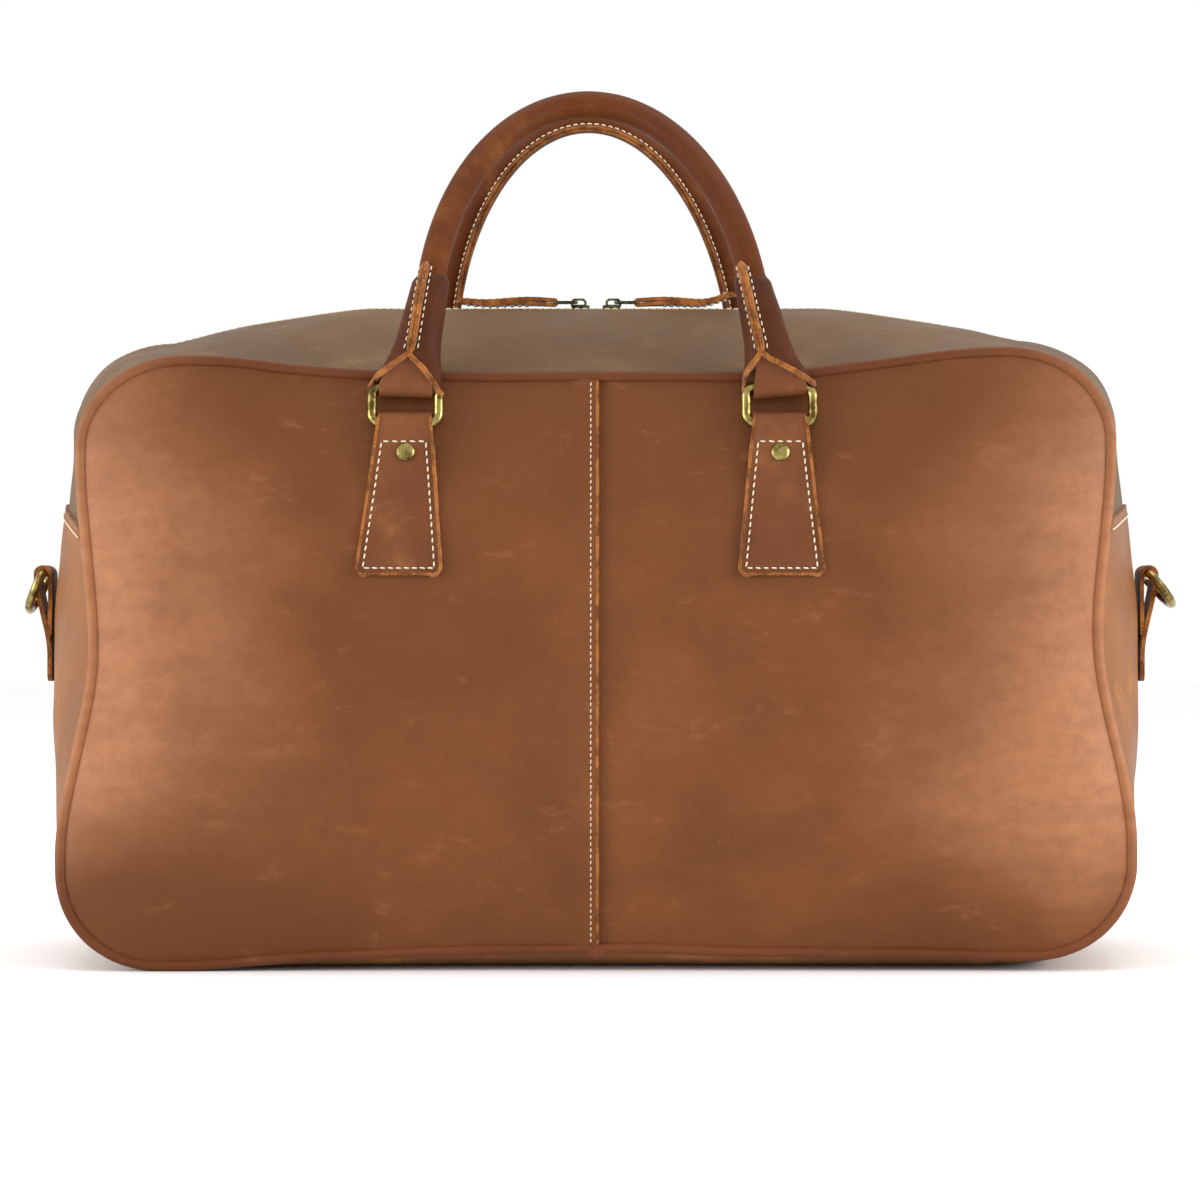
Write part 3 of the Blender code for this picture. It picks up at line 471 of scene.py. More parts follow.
def block(form, centre, along, across, rise, size):
    """A small tapered block, such as a zip tooth."""
    rings, half = [], [value / 2 for value in size]
    for level, taper in ((-1, 1.0), (0.5, 1.0), (1, 0.7)):
        rings.append([centre + along * (u * half[0] * taper) + across * (v * half[1] * taper)
                      + rise * (level * half[2]) for u, v in ((-1, -1), (1, -1), (1, 1), (-1, 1))])
    tube(form, rings)


def lathe(centre, direction, profile, sides=40):
    """A turned shape from (radius, along) pairs, closed at both ends."""
    turn = direction.to_track_quat("Z", "Y").to_matrix()
    rings = []
    for radius, along in profile:
        ring = []
        for i in range(sides):
            angle = 2 * math.pi * i / sides
            ring.append(centre + turn @ Vector((radius * math.cos(angle), radius * math.sin(angle), along)))
        rings.append(ring)
    return tube(Form(), rings)


# ---- materials ----
def linear(red, green, blue, gain=1.0):
    """An sRGB colour from 0 to 255 as linear light."""
    made = []
    for value in (red, green, blue):
        value /= 255.0
        made.append(gain * (value / 12.92 if value <= 0.04045 else ((value + 0.055) / 1.055) ** 2.4))
    return (*made, 1.0)


class Finish:
    """A material built from nodes."""

    def __init__(self, name, roughness=0.6, metallic=0.0, specular=0.3, sheen=0.0):
        self.material = bpy.data.materials.new(name)
        self.material.use_nodes = True
        self.tree = self.material.node_tree
        self.shader = self.tree.nodes["Principled BSDF"]
        self.shader.inputs["Roughness"].default_value = roughness
        self.shader.inputs["Metallic"].default_value = metallic
        self.shader.inputs["Specular IOR Level"].default_value = specular
        self.shader.inputs["Sheen Weight"].default_value = sheen
        self.place = self.tree.nodes.new("ShaderNodeTexCoord").outputs["Object"]

    def node(self, kind, **settings):
        made = self.tree.nodes.new(kind)
        for key, value in settings.items():
            setattr(made, key, value)
        return made

    def set(self, socket, value):
        if isinstance(value, bpy.types.NodeSocket):
            self.tree.links.new(value, socket)
        else:
            socket.default_value = value

    def stretch(self, scale, turn=(0.0, 0.0, 0.0)):
        made = self.node("ShaderNodeMapping")
        self.set(made.inputs["Vector"], self.place)
        made.inputs["Scale"].default_value = scale
        made.inputs["Rotation"].default_value = turn
        return made.outputs["Vector"]

    def clouds(self, scale, detail=4.0, roughness=0.55, where=None, distortion=0.0):
        made = self.node("ShaderNodeTexNoise")
        self.set(made.inputs["Vector"], where or self.place)
        made.inputs["Scale"].default_value = scale
        made.inputs["Detail"].default_value = detail
        made.inputs["Roughness"].default_value = roughness
        made.inputs["Distortion"].default_value = distortion
        return made.outputs["Fac"]

    def cells(self, scale, where=None):
        made = self.node("ShaderNodeTexVoronoi", feature="F1")
        self.set(made.inputs["Vector"], where or self.place)
        made.inputs["Scale"].default_value = scale
        return made.outputs["Distance"]

    def range(self, value, low, high, first=0.0, last=1.0, smooth=True):
        made = self.node("ShaderNodeMapRange")
        made.interpolation_type = "SMOOTHSTEP" if smooth else "LINEAR"
        for name, number in (("From Min", low), ("From Max", high), ("To Min", first), ("To Max", last)):
            made.inputs[name].default_value = number
        self.set(made.inputs["Value"], value)
        return made.outputs["Result"]

    def math(self, operation, a, b=0.0):
        made = self.node("ShaderNodeMath", operation=operation)
        self.set(made.inputs[0], a)
        self.set(made.inputs[1], b)
        return made.outputs["Value"]

    def blend(self, share, a, b, mode="MIX"):
        made = self.node("ShaderNodeMix", data_type="RGBA", blend_type=mode)
        self.set(made.inputs["Factor"], share)
        self.set(made.inputs[6], a)
        self.set(made.inputs[7], b)
        return made.outputs[2]

    def bump(self, height, strength, distance, below=None):
        made = self.node("ShaderNodeBump")
        made.inputs["Strength"].default_value = strength
        made.inputs["Distance"].default_value = distance
        self.set(made.inputs["Height"], height)
        if below is not None:
            self.set(made.inputs["Normal"], below)
        return made.outputs["Normal"]

    def over(self, tone, share, colour, gain=1.0):
        """Lay a colour over a tone, by a share."""
        return self.blend(share, tone, linear(*colour, gain))

    def colour(self, value):
        self.set(self.shader.inputs["Base Color"], value)

    def roughness(self, value):
        self.set(self.shader.inputs["Roughness"], value)

    def normal(self, value):
        self.set(self.shader.inputs["Normal"], value)


def leather(name, dark, base, light, painted_light_zones=False, dust_and_sheen=0.0, specular=0.15, roughness=0.52):
    """Waxed pull-up leather: cloudy colour, pale scuffs, fine scratches and a pebbled grain.

    Optionally it has painted shade towards the top and the base, and a painted highlight towards the sides.
    """
    finish = Finish(name, roughness, specular=specular)
    wide = finish.clouds(7.0, 3.0, 0.55, distortion=0.6)
    mottle = finish.clouds(26.0, 6.0, 0.62)
    fine = finish.clouds(150.0, 5.0, 0.6)
    cloud = finish.math("ADD", finish.math("MULTIPLY", wide, 0.62), finish.math("MULTIPLY", mottle, 0.38))
    tone = finish.blend(finish.range(cloud, 0.36, 0.66), linear(*dark), linear(*base))
    if painted_light_zones:
        split = finish.node("ShaderNodeSeparateXYZ")
        finish.set(split.inputs[0], finish.place)
        off_centre = finish.math("ABSOLUTE", split.outputs["X"])
        wander = finish.math("MULTIPLY", finish.math("SUBTRACT", wide, 0.5), 0.10)
        off_centre = finish.math("ADD", off_centre, wander)
        height = finish.math("ADD", split.outputs["Z"], wander)
        # painted shade: the colour darkens towards the top
        tone = finish.over(tone, finish.range(height, 0.185, 0.285, 0.0, 0.80), dark, 0.92)
        # painted shade: the colour darkens towards the base
        tone = finish.over(tone, finish.range(height, 0.070, 0.005, 0.0, 0.45), dark)
        # painted highlight: paler towards the sides, where the side lamps would gleam on the turned edges
        near = finish.math("SUBTRACT", off_centre, finish.range(height, 0.200, 0.285, 0.0, 0.05))
        painted_side_highlight = finish.math("MULTIPLY", finish.range(near, 0.110, 0.285), finish.range(height, 0.012, 0.110))
        tone = finish.over(tone, painted_side_highlight, light)
    else:
        tone = finish.over(tone, finish.range(mottle, 0.52, 0.78), light)
    scuff = finish.clouds(9.0, 5.0, 0.7, finish.stretch((1.0, 1.0, 3.2), (0.3, 0.2, 0.5)))
    scuff = finish.math("MULTIPLY", finish.range(scuff, 0.60, 0.74), finish.range(fine, 0.42, 0.62))
    tone = finish.over(tone, finish.math("MULTIPLY", scuff, 0.16), light)
    line = finish.clouds(34.0, 3.0, 0.5, finish.stretch((1.0, 1.0, 14.0), (0.5, 1.1, 0.35)))
    line = finish.math("MULTIPLY", finish.range(line, 0.67, 0.74), finish.range(mottle, 0.52, 0.64))
    tone = finish.over(tone, finish.math("MULTIPLY", line, 0.08), light)
    smear = finish.clouds(38.0, 7.0, 0.66, finish.stretch((1.0, 1.0, 2.4), (0.0, 0.12, 0.0)), 0.3)
    tone = finish.over(tone, finish.range(smear, 0.40, 0.66, 0.0, 0.20), dark, 0.92)
    tone = finish.over(tone, finish.range(smear, 0.42, 0.30, 0.0, 0.12), light, 1.02)
    tone = finish.over(tone, finish.range(fine, 0.35, 0.75, 0.0, 0.18), dark, 0.8)
    # pale grey film: partly dust, partly painted sheen standing in for light glancing off the top
    if dust_and_sheen:
        dust_and_sheen_film = finish.range(finish.clouds(14.0, 4.0, 0.6), 0.35, 0.7, dust_and_sheen * 0.5, dust_and_sheen)
        tone = finish.over(tone, dust_and_sheen_film, (128, 104, 78))
    finish.colour(tone)
    finish.roughness(finish.range(mottle, 0.3, 0.7, roughness - 0.09, roughness + 0.10))
    grain = finish.math("ADD", finish.cells(1150.0), finish.math("MULTIPLY", fine, 0.8))
    under = finish.bump(mottle, 0.22, 0.0012)
    finish.normal(finish.bump(grain, 0.16, 0.0004, under))
    return finish.material


def raw_edge(name):
    """The cut, fibrous edge of the leather: orange suede."""
    finish = Finish(name, 0.9, specular=0.1, sheen=0.15)
    fibre = finish.clouds(900.0, 4.0, 0.7)
    patch = finish.clouds(140.0, 4.0, 0.6)
    tone = finish.blend(finish.range(patch, 0.35, 0.65), linear(98, 54, 21), linear(156, 94, 41))
    tone = finish.over(tone, finish.range(fibre, 0.5, 0.75, 0.0, 0.6), (188, 131, 74))
    finish.colour(tone)
    finish.normal(finish.bump(fibre, 0.8, 0.0006))
    return finish.material


def suede(name):
    """The flesh side of the leather, inside the bag."""
    finish = Finish(name, 0.95, specular=0.08, sheen=0.2)
    nap = finish.clouds(420.0, 5.0, 0.7)
    tone = finish.blend(finish.range(nap, 0.3, 0.7), linear(132, 84, 48), linear(172, 118, 74))
    finish.colour(tone)
    finish.normal(finish.bump(nap, 0.5, 0.0004))
    return finish.material


def thread(name):
    """Cream waxed thread, twisted."""
    gain = 0.95             # a little duller than new thread
    finish = Finish(name, 0.7, specular=0.3)
    twist = finish.clouds(2600.0, 2.0, 0.5, finish.stretch((1.0, 1.0, 2.2), (0.6, 0.6, 0.4)))
    dark, light = linear(188, 170, 140, gain), linear(240, 228, 204, gain)
    tone = finish.blend(finish.range(twist, 0.35, 0.65), dark, light)
    finish.colour(tone)
    finish.normal(finish.bump(twist, 0.6, 0.0002))
    return finish.material


def brass(name, dark, bright, roughness):
    """Antique brass, darker where it isn't worn bright."""
    finish = Finish(name, roughness, metallic=1.0, specular=0.5)
    patina = finish.clouds(120.0, 6.0, 0.65)
    tone = finish.blend(finish.range(patina, 0.38, 0.62), linear(*dark), linear(*bright))
    finish.colour(tone)
    finish.roughness(finish.range(patina, 0.3, 0.7, roughness + 0.12, roughness - 0.04))
    finish.normal(finish.bump(finish.clouds(1400.0, 3.0, 0.6), 0.08, 0.0002))
    return finish.material


def woven(name, dark, light, pitch):
    """A plain weave of threads, worked out from the position."""
    finish = Finish(name, 0.9, specular=0.12, sheen=0.1)
    split = finish.node("ShaderNodeSeparateXYZ")
    finish.set(split.inputs[0], finish.place)
    turn = 2.0 * math.pi / pitch
    warp = finish.math("SINE", finish.math("MULTIPLY", split.outputs["X"], turn))
    lie = finish.math("ADD", split.outputs["Y"], split.outputs["Z"])
    weft = finish.math("SINE", finish.math("MULTIPLY", lie, turn))
    weave = finish.math("MULTIPLY", warp, weft)
    patch = finish.clouds(60.0, 4.0, 0.6)
    tone = finish.blend(finish.range(weave, -0.8, 0.8), linear(*dark), linear(*light))
    tone = finish.over(tone, finish.range(patch, 0.3, 0.7, 0.0, 0.35), dark)
    finish.colour(tone)
    finish.normal(finish.bump(weave, 0.5, 0.0003))
    return finish.material


# the panel leather carries painted shade towards the top and base and a painted highlight towards the sides
PANEL = leather("panel_leather", (96, 54, 25), (113, 66, 33), (166, 113, 79), painted_light_zones=True)
GUSSET = leather("gusset_leather", (116, 70, 32), (137, 87, 46), (158, 108, 64))
# the band's pale grey film is partly dust and partly painted sheen
BAND = leather("band_leather", (84, 60, 36), (103, 76, 48), (120, 94, 66), dust_and_sheen=0.10, specular=0.10)
HANDLE = leather("handle_leather", (80, 38, 14), (100, 54, 22), (120, 72, 34), roughness=0.52, specular=0.08)
WRAP = leather("wrap_leather", (62, 30, 14), (78, 40, 21), (100, 58, 32), specular=0.08)
TAB = leather("tab_leather", (94, 52, 27), (112, 66, 36), (130, 82, 48))
# the piping leather carries the same painted shade and painted highlight
CORD = leather("piping_leather", (92, 48, 23), (112, 62, 33), (160, 106, 70), painted_light_zones=True, roughness=0.46)
PULL = leather("puller_leather", (84, 48, 20), (110, 64, 28), (130, 80, 40))
RAW = raw_edge("raw_leather_edge")
FLESH = suede("leather_flesh")
THREAD = thread("cream_thread")
BRASS = brass("antique_brass_finish", (78, 64, 32), (166, 148, 88), 0.28)
ZIP_BRASS = brass("zip_brass_finish", (40, 40, 26), (96, 92, 58), 0.38)
TAPE = woven("zip_tape_weave", (44, 28, 18), (72, 48, 32), 0.0011)
LINING = woven("lining_weave", (124, 102, 76), (172, 148, 116), 0.0013)
FIBRE = woven("board_weave", (70, 56, 42), (112, 92, 70), 0.0024)
CORE = woven("core_weave", (170, 150, 120), (214, 198, 168), 0.0020)


def mark(obj, replaces):
    """Hide the frame's nodes that a piece stands for."""
    if replaces:
        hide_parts(*replaces)
    return obj


def place(obj, body="root", replaces=()):
    """The usual last lines of a piece: the body it rides on and the nodes it stands for."""
    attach(obj, body)
    return mark(obj, replaces)


def bend(obj, replaces=()):
    """For a piece of the mouth: bake its place into its points and hide the nodes it stands for."""
    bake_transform(obj)
    return mark(obj, replaces)


# ---- front and rear ----
def panel_point(u, v, side, sy):
    """A point of one half panel: u from the seam to the side, v from the base to the top."""
    def edge(t):
        x, z = rim(t, side)
        nx, nz = outward(t, side)
        return x - nx * PIPING_R * 0.55, z - nz * PIPING_R * 0.55

    top = edge(mix(0.0, CORNER_HIGH_T, u))
    low = edge(mix(5.0, CORNER_LOW_T, u))
    out = edge(mix(CORNER_LOW_T, CORNER_HIGH_T, v))
    seam = (0.0, mix(edge(5.0)[1], edge(0.0)[1], v))
    point = []
    for axis in (0, 1):
        corners = mix(mix(edge(5.0)[axis], edge(CORNER_LOW_T)[axis], u),
                      mix(edge(0.0)[axis], edge(CORNER_HIGH_T)[axis], u), v)
        point.append(mix(seam[axis], out[axis], u) + mix(low[axis], top[axis], v) - corners)
    x, z = point
    depth = bulge(u, abs(2.0 * v - 1.0))
    free = (1.0 - u ** 4) * (1.0 - abs(2.0 * v - 1.0) ** 5)
    sway = rough(side * x, 0.0, z, 0.085, 3.0 + sy) * 0.0022 + rough(side * x, 0.0, z, 0.034, 8.0) * 0.0005
    return x, z, depth + free * sway


def panel_rows(side, sy, lap):
    """Rows of points over one half panel. The one that laps reaches past the seam and stands proud there."""
    across = [1.0 - (1.0 - i / 84) ** 1.25 for i in range(85)]
    up = [0.5 - 0.5 * math.cos(math.pi * (0.06 + 0.88 * i / 84)) for i in range(85)]
    first, last = up[0], up[-1]
    up = [(value - first) / (last - first) for value in up]
    rows = []
    for v in up[::-1]:
        row = []
        x0, z0, depth0 = panel_point(0.0, v, side, sy)
        fray = 0.00025 * rough(0.0, 0.0, z0, 0.004, 1.0)
        if lap:
            ahead = [0.0012 + fray, 0.0006]
            row += [Vector((-side * x, sy * (depth0 + LAP), z0)) for x in ahead]
        else:
            row.append(Vector((-side * 0.006, sy * (depth0 - 0.0006), z0)))
        for u in across:
            x, z, depth = panel_point(u, v, side, sy)
            if lap:
                depth += LAP * (1.0 - ease((x - 0.004) / 0.010))
                depth -= 0.00045 * math.exp(-((x - 0.0024) / 0.0008) ** 2)
            else:
                depth -= 0.0010 * math.exp(-(x / 0.006) ** 2)
            row.append(Vector((side * x, sy * depth, z)))
        rows.append(row)
    return rows


def seam_line(x_at, sy, first, last, count, u, sink):
    """Points down the centre seam on the half that laps. x_at gives x for a height."""
    line = []
    for v in steps(first, last, count):
        _, z, depth = panel_point(u, v, -1, sy)
        line.append(Vector((x_at(z), sy * (depth + LAP - sink), z)))
    return line


def seam_edge_x(z):
    return 0.0007 + 0.00025 * rough(0.0, 0.0, z, 0.010, 1.0)


def make_panels():
    for face, sy in FACES:
        name = "front" if face == "front" else "back"
        for label, side in SIDES:
            rows = panel_rows(side, sy, lap=(side < 0))
            form = shell(rows, PANEL_PLY, flip=(side * sy < 0))
            obj = form.make(f"{face}_{label}_panel_leather", [PANEL, FLESH, RAW])
            place(obj, replaces=[f"{name}_panel_{label}"])
        out = Vector((0.0, sy, 0.0))
        line = seam_line(lambda z: -0.0024, sy, 0.004, 0.996, 90, 0.01, 0.00035)
        form = stitches(Form(), line, out, pitch=0.0030, length=0.0026, radius=0.00036)
        place(form.make(f"{face}_seam_stitches", [THREAD]))
        line = seam_line(seam_edge_x, sy, 0.0, 1.0, 150, 0.0, 0.0003)
        form = raised_strip(Form(), line, out, 0.0015, 0.0005, 5.0)
        place(form.make(f"{face}_seam_raw_edge", [PANEL, FLESH, RAW]))


def outline_points(side, sy):
    """The piping's line on one side, from the middle of the top to the middle of the base."""
    made = []
    for t in steps(0.0, 5.0, 170):
        x, z = rim(t, side)
        made.append(Vector((side * x, sy * PIPING_Y, z)))
    return made


def piping_swell(point):
    """How much the cord under the leather swells at a place."""
    return 1.0 + 0.05 * rough(point.x, 0.0, point.z, 0.02, 4.0) + 0.03 * rough(point.x, 0.0, point.z, 0.006)


def make_piping():
    sides = 14
    for face, sy in FACES:
        loop = outline_points(1, sy) + outline_points(-1, sy)[-2:0:-1]
        form = closed_wire(loop, PIPING_R, Vector((0.0, 1.0, 0.0)), sides, piping_swell)
        z = rim(5.0, 1)[1]
        lap = [Vector((x, sy * (PIPING_Y + 0.0002), z - 0.0004 - 0.0022 * ease((0.0045 - abs(x)) / 0.004)))
               for x in steps(-0.0052, 0.0040, 12)]
        rings = []
        for i, (point, across, rise) in enumerate(frames(lap, Vector((0.0, sy, 0.0)))):
            size = 0.75 + 0.25 * math.sin(math.pi * (i / (len(lap) - 1)))
            rings.append([point + across * (u * size) + rise * (v * size)
                          for u, v in round_profile(PIPING_R * 1.12, sides)])
        tube(form, rings)
        place(form.make(f"{face}_piping_leather", [CORD]), replaces=[f"piping_{face}"])


# ---- sides, base and top ----
def edge_stitches(name, points, up):
    place(stitches(Form(), points, up).make(name, [THREAD]))


def make_gussets():
    half = PIPING_Y - 0.0004
    for label, side in SIDES:
        depths = steps(-half, half, 61)
        stations = steps(SEAM_T - SEAM_LAP, 3.0, 44) + steps(3.0, 4.0, 26)[1:]
        stations += steps(4.0, BASE_T + 0.01, 3)[1:]
        rows = []
        for i, t in enumerate(stations):
            proud = -0.0019 * (1.0 - ease(i / 9.0))     # the gusset's edge lies on the band
            rows.append([skin(t, depth, side, proud, GUSSET_SOFT) for depth in depths])
        obj = shell(rows, LEATHER, flip=(side > 0)).make(f"{label}_gusset_leather", [GUSSET, FLESH, RAW])
        place(obj, replaces=[f"side_gusset_{label}"])
        depths = steps(-half + 0.002, half - 0.002, 80)
        line = [skin(SEAM_T - 0.012, depth, side, -0.0021, GUSSET_SOFT) for depth in depths]
        edge_stitches(f"{label}_side_seam_stitches", line, Vector((side, 0.0, 0.25)))
    stations = [BASE_T + (5.0 - BASE_T) * i / 20 for i in range(21)]
    places = [(t, 1) for t in stations] + [(t, -1) for t in stations[-2::-1]]
    rows = [[skin(t, depth, side, -0.0004) for depth in steps(-half, half, 41)] for t, side in places]
    form = shell(rows, LEATHER, flip=True)
    place(form.make("base_leather", [GUSSET, FLESH, RAW]), replaces=["base_gusset"])
    for label, side in SIDES:
        line = [skin(BASE_T + 0.03, depth, side, 0.0002) for depth in steps(-half + 0.004, half - 0.004, 70)]
        edge_stitches(f"{label}_base_seam_stitches", line, Vector((0.0, 0.0, -1.0)))


def band_row(t, sy, side, hem):
    """One row of the band from the zip's edge to the piping, with an optional turned-down hem."""
    row = []
    for share in [0.0, 0.004, 0.012] + steps(0.03, 1.0, 34):
        depth = sy * mix(ZIP_EDGE_Y, PIPING_Y - PIPING_R * 0.6, share)
        roll = 0.0010 * (1.0 - ease(share / 0.012)) + 0.0004 * math.exp(-((share - 0.03) / 0.012) ** 2)
        row.append(skin(t, depth, side, roll, BAND_SOFT))
    if hem:
        last = row[-1]
        row += [last + Vector((0.0, -sy * down * 0.6, -down)) for down in (0.0010, 0.0020)]
    return row


def make_bands():
    for face, sy in FACES:
        for label, side in SIDES:
            flip = side * sy > 0
            finishes = [BAND, FLESH, RAW]
            first_half = side < 0           # the CAD's opening half is one piece, replaced once
            rows = [band_row(t, sy, side, True) for t in steps(0.0, MOUTH_T, 70)]
            form = shell(rows, BAND_PLY, flip=flip, rims="lr")
            obj = form.make(f"{face}_{label}_mouth_leather", finishes)
            bend(obj, [f"zip_band_{face}"] if first_half else ())
            stations = steps(MOUTH_T, 1.0, 8) + steps(1.0, 2.0, 26)[1:] + steps(2.0, SEAM_T, 12)[1:]
            rows = [band_row(t, sy, side, False) for t in stations]
            form = shell(rows, BAND_PLY, flip=flip, rims="blr")
            obj = form.make(f"{face}_{label}_band_end_leather", finishes)
            place(obj, replaces=[f"zip_band_end_{face}_{label}"])
            depth = sy * (ZIP_EDGE_Y + 0.0028)
            line = [skin(t, depth, side, 0.0001, BAND_SOFT) for t in steps(0.0, MOUTH_T, 90)]
            form = stitches(Form(), line, Vector((0.0, 0.0, 1.0)), pitch=0.0038, length=0.0028)
            bend(form.make(f"{face}_{label}_mouth_stitches", [THREAD]))
            line = [skin(t, depth, side, 0.0001, BAND_SOFT) for t in steps(MOUTH_T, SEAM_T - 0.06, 80)]
            normal = [(one - Vector((side * 0.17, one.y, 0.20))).normalized() for one in line]
            form = stitches(Form(), line, normal, pitch=0.0038, length=0.0028)
            place(form.make(f"{face}_{label}_band_end_stitches", [THREAD]))
            depths = steps(TAPE_Y + 0.002, PIPING_Y - 0.007, 14)
            rows = [[skin(t, sy * depth, side, LEATHER + 0.0016) for depth in depths]
                    for t in steps(0.0, MOUTH_T, 40)]
            form = shell(rows, CLOTH_PLY, CLOTH_KINDS, flip=flip)
            obj = form.make(f"{face}_{label}_mouth_lining", [LINING])
            bend(obj, [f"band_lining_{face}"] if first_half else ())


def make_welts():
    """The seam allowance under each mouth's edge, sewn in with the piping."""
    for face, sy in FACES:
        for label, side in SIDES:
            rows = []
            for t in steps(0.0, MOUTH_T + 0.02, 60):
                rows.append([skin(t, sy * (mix(PIPING_Y - 0.0006, PIPING_Y - 0.0080, share)), side,
                                  mix(0.0036, 0.0056, share)) for share in steps(0.0, 1.0, 6)])
            form = shell(rows, WELT_PLY, flip=(side * sy < 0))
            place(form.make(f"{face}_{label}_welt_leather", [BAND, FLESH, RAW]))


def zip_frame(t, side, inset):
    """A place on the ridge, the direction along it and the direction out of the bag."""
    point = skin(t, 0.0, side, inset)
    ahead = skin(min(t + 0.01, 5.0), 0.0, side, inset) - skin(max(t - 0.01, 0.0), 0.0, side, inset)
    along = ahead.normalized() if t > 0.01 else Vector((side, 0.0, 0.0))
    return point, along, (along.cross(Vector((0.0, 1.0, 0.0))) * -side).normalized()


def tooth_row(form, first, last, side, sy):
    """Zip teeth of one row, between two stations. The rear row's teeth lie between the front row's."""
    stations = steps(first, last, 400)
    points = [skin(t, 0.0, side, TAPE_DROP) for t in stations]
    total = measure(points)
    pitch, shift = 0.0026, 0.25 if sy < 0 else 0.75
    k = 0
    for number in range(int(total[-1] / pitch)):
        place_at = (number + shift) * pitch
        while k < len(total) - 2 and total[k + 1] < place_at:
            k += 1
        point, along, rise = zip_frame(stations[k], side, TAPE_DROP - 0.0012)
        centre = point + Vector((0.0, sy * 0.0012, 0.0))
        block(form, centre, along, Vector((0.0, 1.0, 0.0)), rise, (0.0012, 0.0034, 0.0018))
    return form


def make_zip():
    for face, sy in FACES:
        for label, side in SIDES:
            rows = [[skin(t, sy * depth, side, TAPE_DROP) for depth in TAPE_COLUMNS]
                    for t in steps(0.0, MOUTH_T, 50)]
            form = shell(rows, TAPE_PLY, CLOTH_KINDS, flip=(side * sy > 0))
            obj = form.make(f"{face}_{label}_zip_tape", [TAPE])
            bend(obj, [f"zip_tape_{face}"] if side < 0 else ())
            obj = tooth_row(Form(), 0.004, MOUTH_T, side, sy).make(f"{face}_{label}_zip_teeth", [ZIP_BRASS])
            bend(obj, [f"zip_teeth_{face}"] if side < 0 else ())
    columns = [-depth for depth in TAPE_COLUMNS[:0:-1]] + [0.0, *TAPE_COLUMNS[1:]]
    for label, side in SIDES:
        stations = steps(MOUTH_T, 1.0, 6) + steps(1.0, 2.0, 22)[1:] + steps(2.0, SEAM_T - 0.02, 8)[1:]
        rows = [[skin(t, depth, side, TAPE_DROP) for depth in columns] for t in stations]
        form = shell(rows, TAPE_PLY, CLOTH_KINDS, flip=(side > 0))
        obj = form.make(f"{label}_zip_end_tape", [TAPE])
        place(obj, replaces=[f"zip_tape_end_{label}"])
        form = Form()
        for _, sy in FACES:
            tooth_row(form, MOUTH_T, SEAM_T - 0.08, side, sy)
        obj = form.make(f"{label}_zip_end_teeth", [ZIP_BRASS])
        place(obj, replaces=[f"zip_teeth_end_{label}"])


# ---- pullers ----
PULLER_TURN_R = 0.0021      # how far each ply's outer face stands off the link's bar
PULLER_CORNER = 0.003


def make_pullers():
    for label, side in SIDES:
        low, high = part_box(f"puller_{label}")
        eye_z = (low.z + high.z) / 2
        inner_x = min(abs(low.x), abs(high.x))
        tip_x = max(abs(low.x), abs(high.x)) - 0.0004
        bar_x = inner_x + PULLER_TURN_R + 0.0009
        curl = 0.0042 if side > 0 else 0.0010

        def lift(x):
            share = (x - bar_x) / (tip_x - bar_x)
            return curl * ease((share - 0.55) / 0.45) ** 1.5 + 0.0005 * math.sin(6.0 * share)

        def thick(x):
            return PULLER_TURN_R * (1.0 - 0.35 * ease((x - bar_x) / 0.05))

        path = [(x, -thick(x)) for x in steps(tip_x, bar_x, 34)]
        for i in range(1, 12):
            angle = math.radians(-90.0 - 15.0 * i)
            path.append((bar_x + PULLER_TURN_R * math.cos(angle), PULLER_TURN_R * math.sin(angle)))
        path += [(x, thick(x)) for x in steps(bar_x, tip_x - 0.0015, 34)]
        rows = []
        for x, z in path:
            half = mix(0.0027, 0.0056, ease(max(0.0, x - bar_x) / 0.012))
            corner = max(0.0, PULLER_CORNER - (tip_x - x))
            half -= PULLER_CORNER - math.sqrt(max(0.0, PULLER_CORNER ** 2 - corner ** 2))
            raised = lift(max(x, bar_x))
            fray = 0.00022 * rough(x, z * 3.0, 0.0, 0.003, 6.0)
            rows.append([Vector((side * x, y * (half + fray), eye_z + z + raised))
                         for y in (-1.0, -0.9, -0.5, 0.0, 0.5, 0.9, 1.0)])
        form = shell(rows, PANEL_PLY, flip=(side > 0))
        xs = steps(bar_x + 0.012, tip_x - 0.004, 30)
        for face in (1.0, -1.0):
            for y in (-0.0036, 0.0036):
                line = [Vector((side * x, y, eye_z + face * thick(x) + lift(x) + face * 0.0001)) for x in xs]
                stitches(form, line, Vector((0.0, 0.0, face)), pitch=0.0034, length=0.0024, finish=SEWN)
        obj = form.make(f"{label}_puller_leather", [PULL, FLESH, RAW, THREAD])
        place(obj, f"puller_{label}", [f"puller_{label}"])


# ---- tabs, rivets and rings ----
TAB_TOP_Z = 0.267
TAB_BOTTOM_Z = 0.190
TAB_BACK_Z = 0.240
TAB_HALVES = (0.0125, 0.0208)      # half the width at the top and at the bottom
TAB_CORNER = 0.0045
TAB_LOOP = RING_WIRE + 0.0003 + STRAP_PLY
RING_SHIFT = {-1: -0.0014, 1: -0.0018}


def tab_down(z):
    """0 at the tab's top, 1 at its bottom."""
    return (TAB_TOP_Z - z) / (TAB_TOP_Z - TAB_BOTTOM_Z)


def tab_middle(z, side):
    """The tab's middle at a height: the left one leans outwards a little."""
    lean = -0.0030 if side < 0 else 0.0008
    return side * RING_X + RING_SHIFT[side] + lean * tab_down(z)


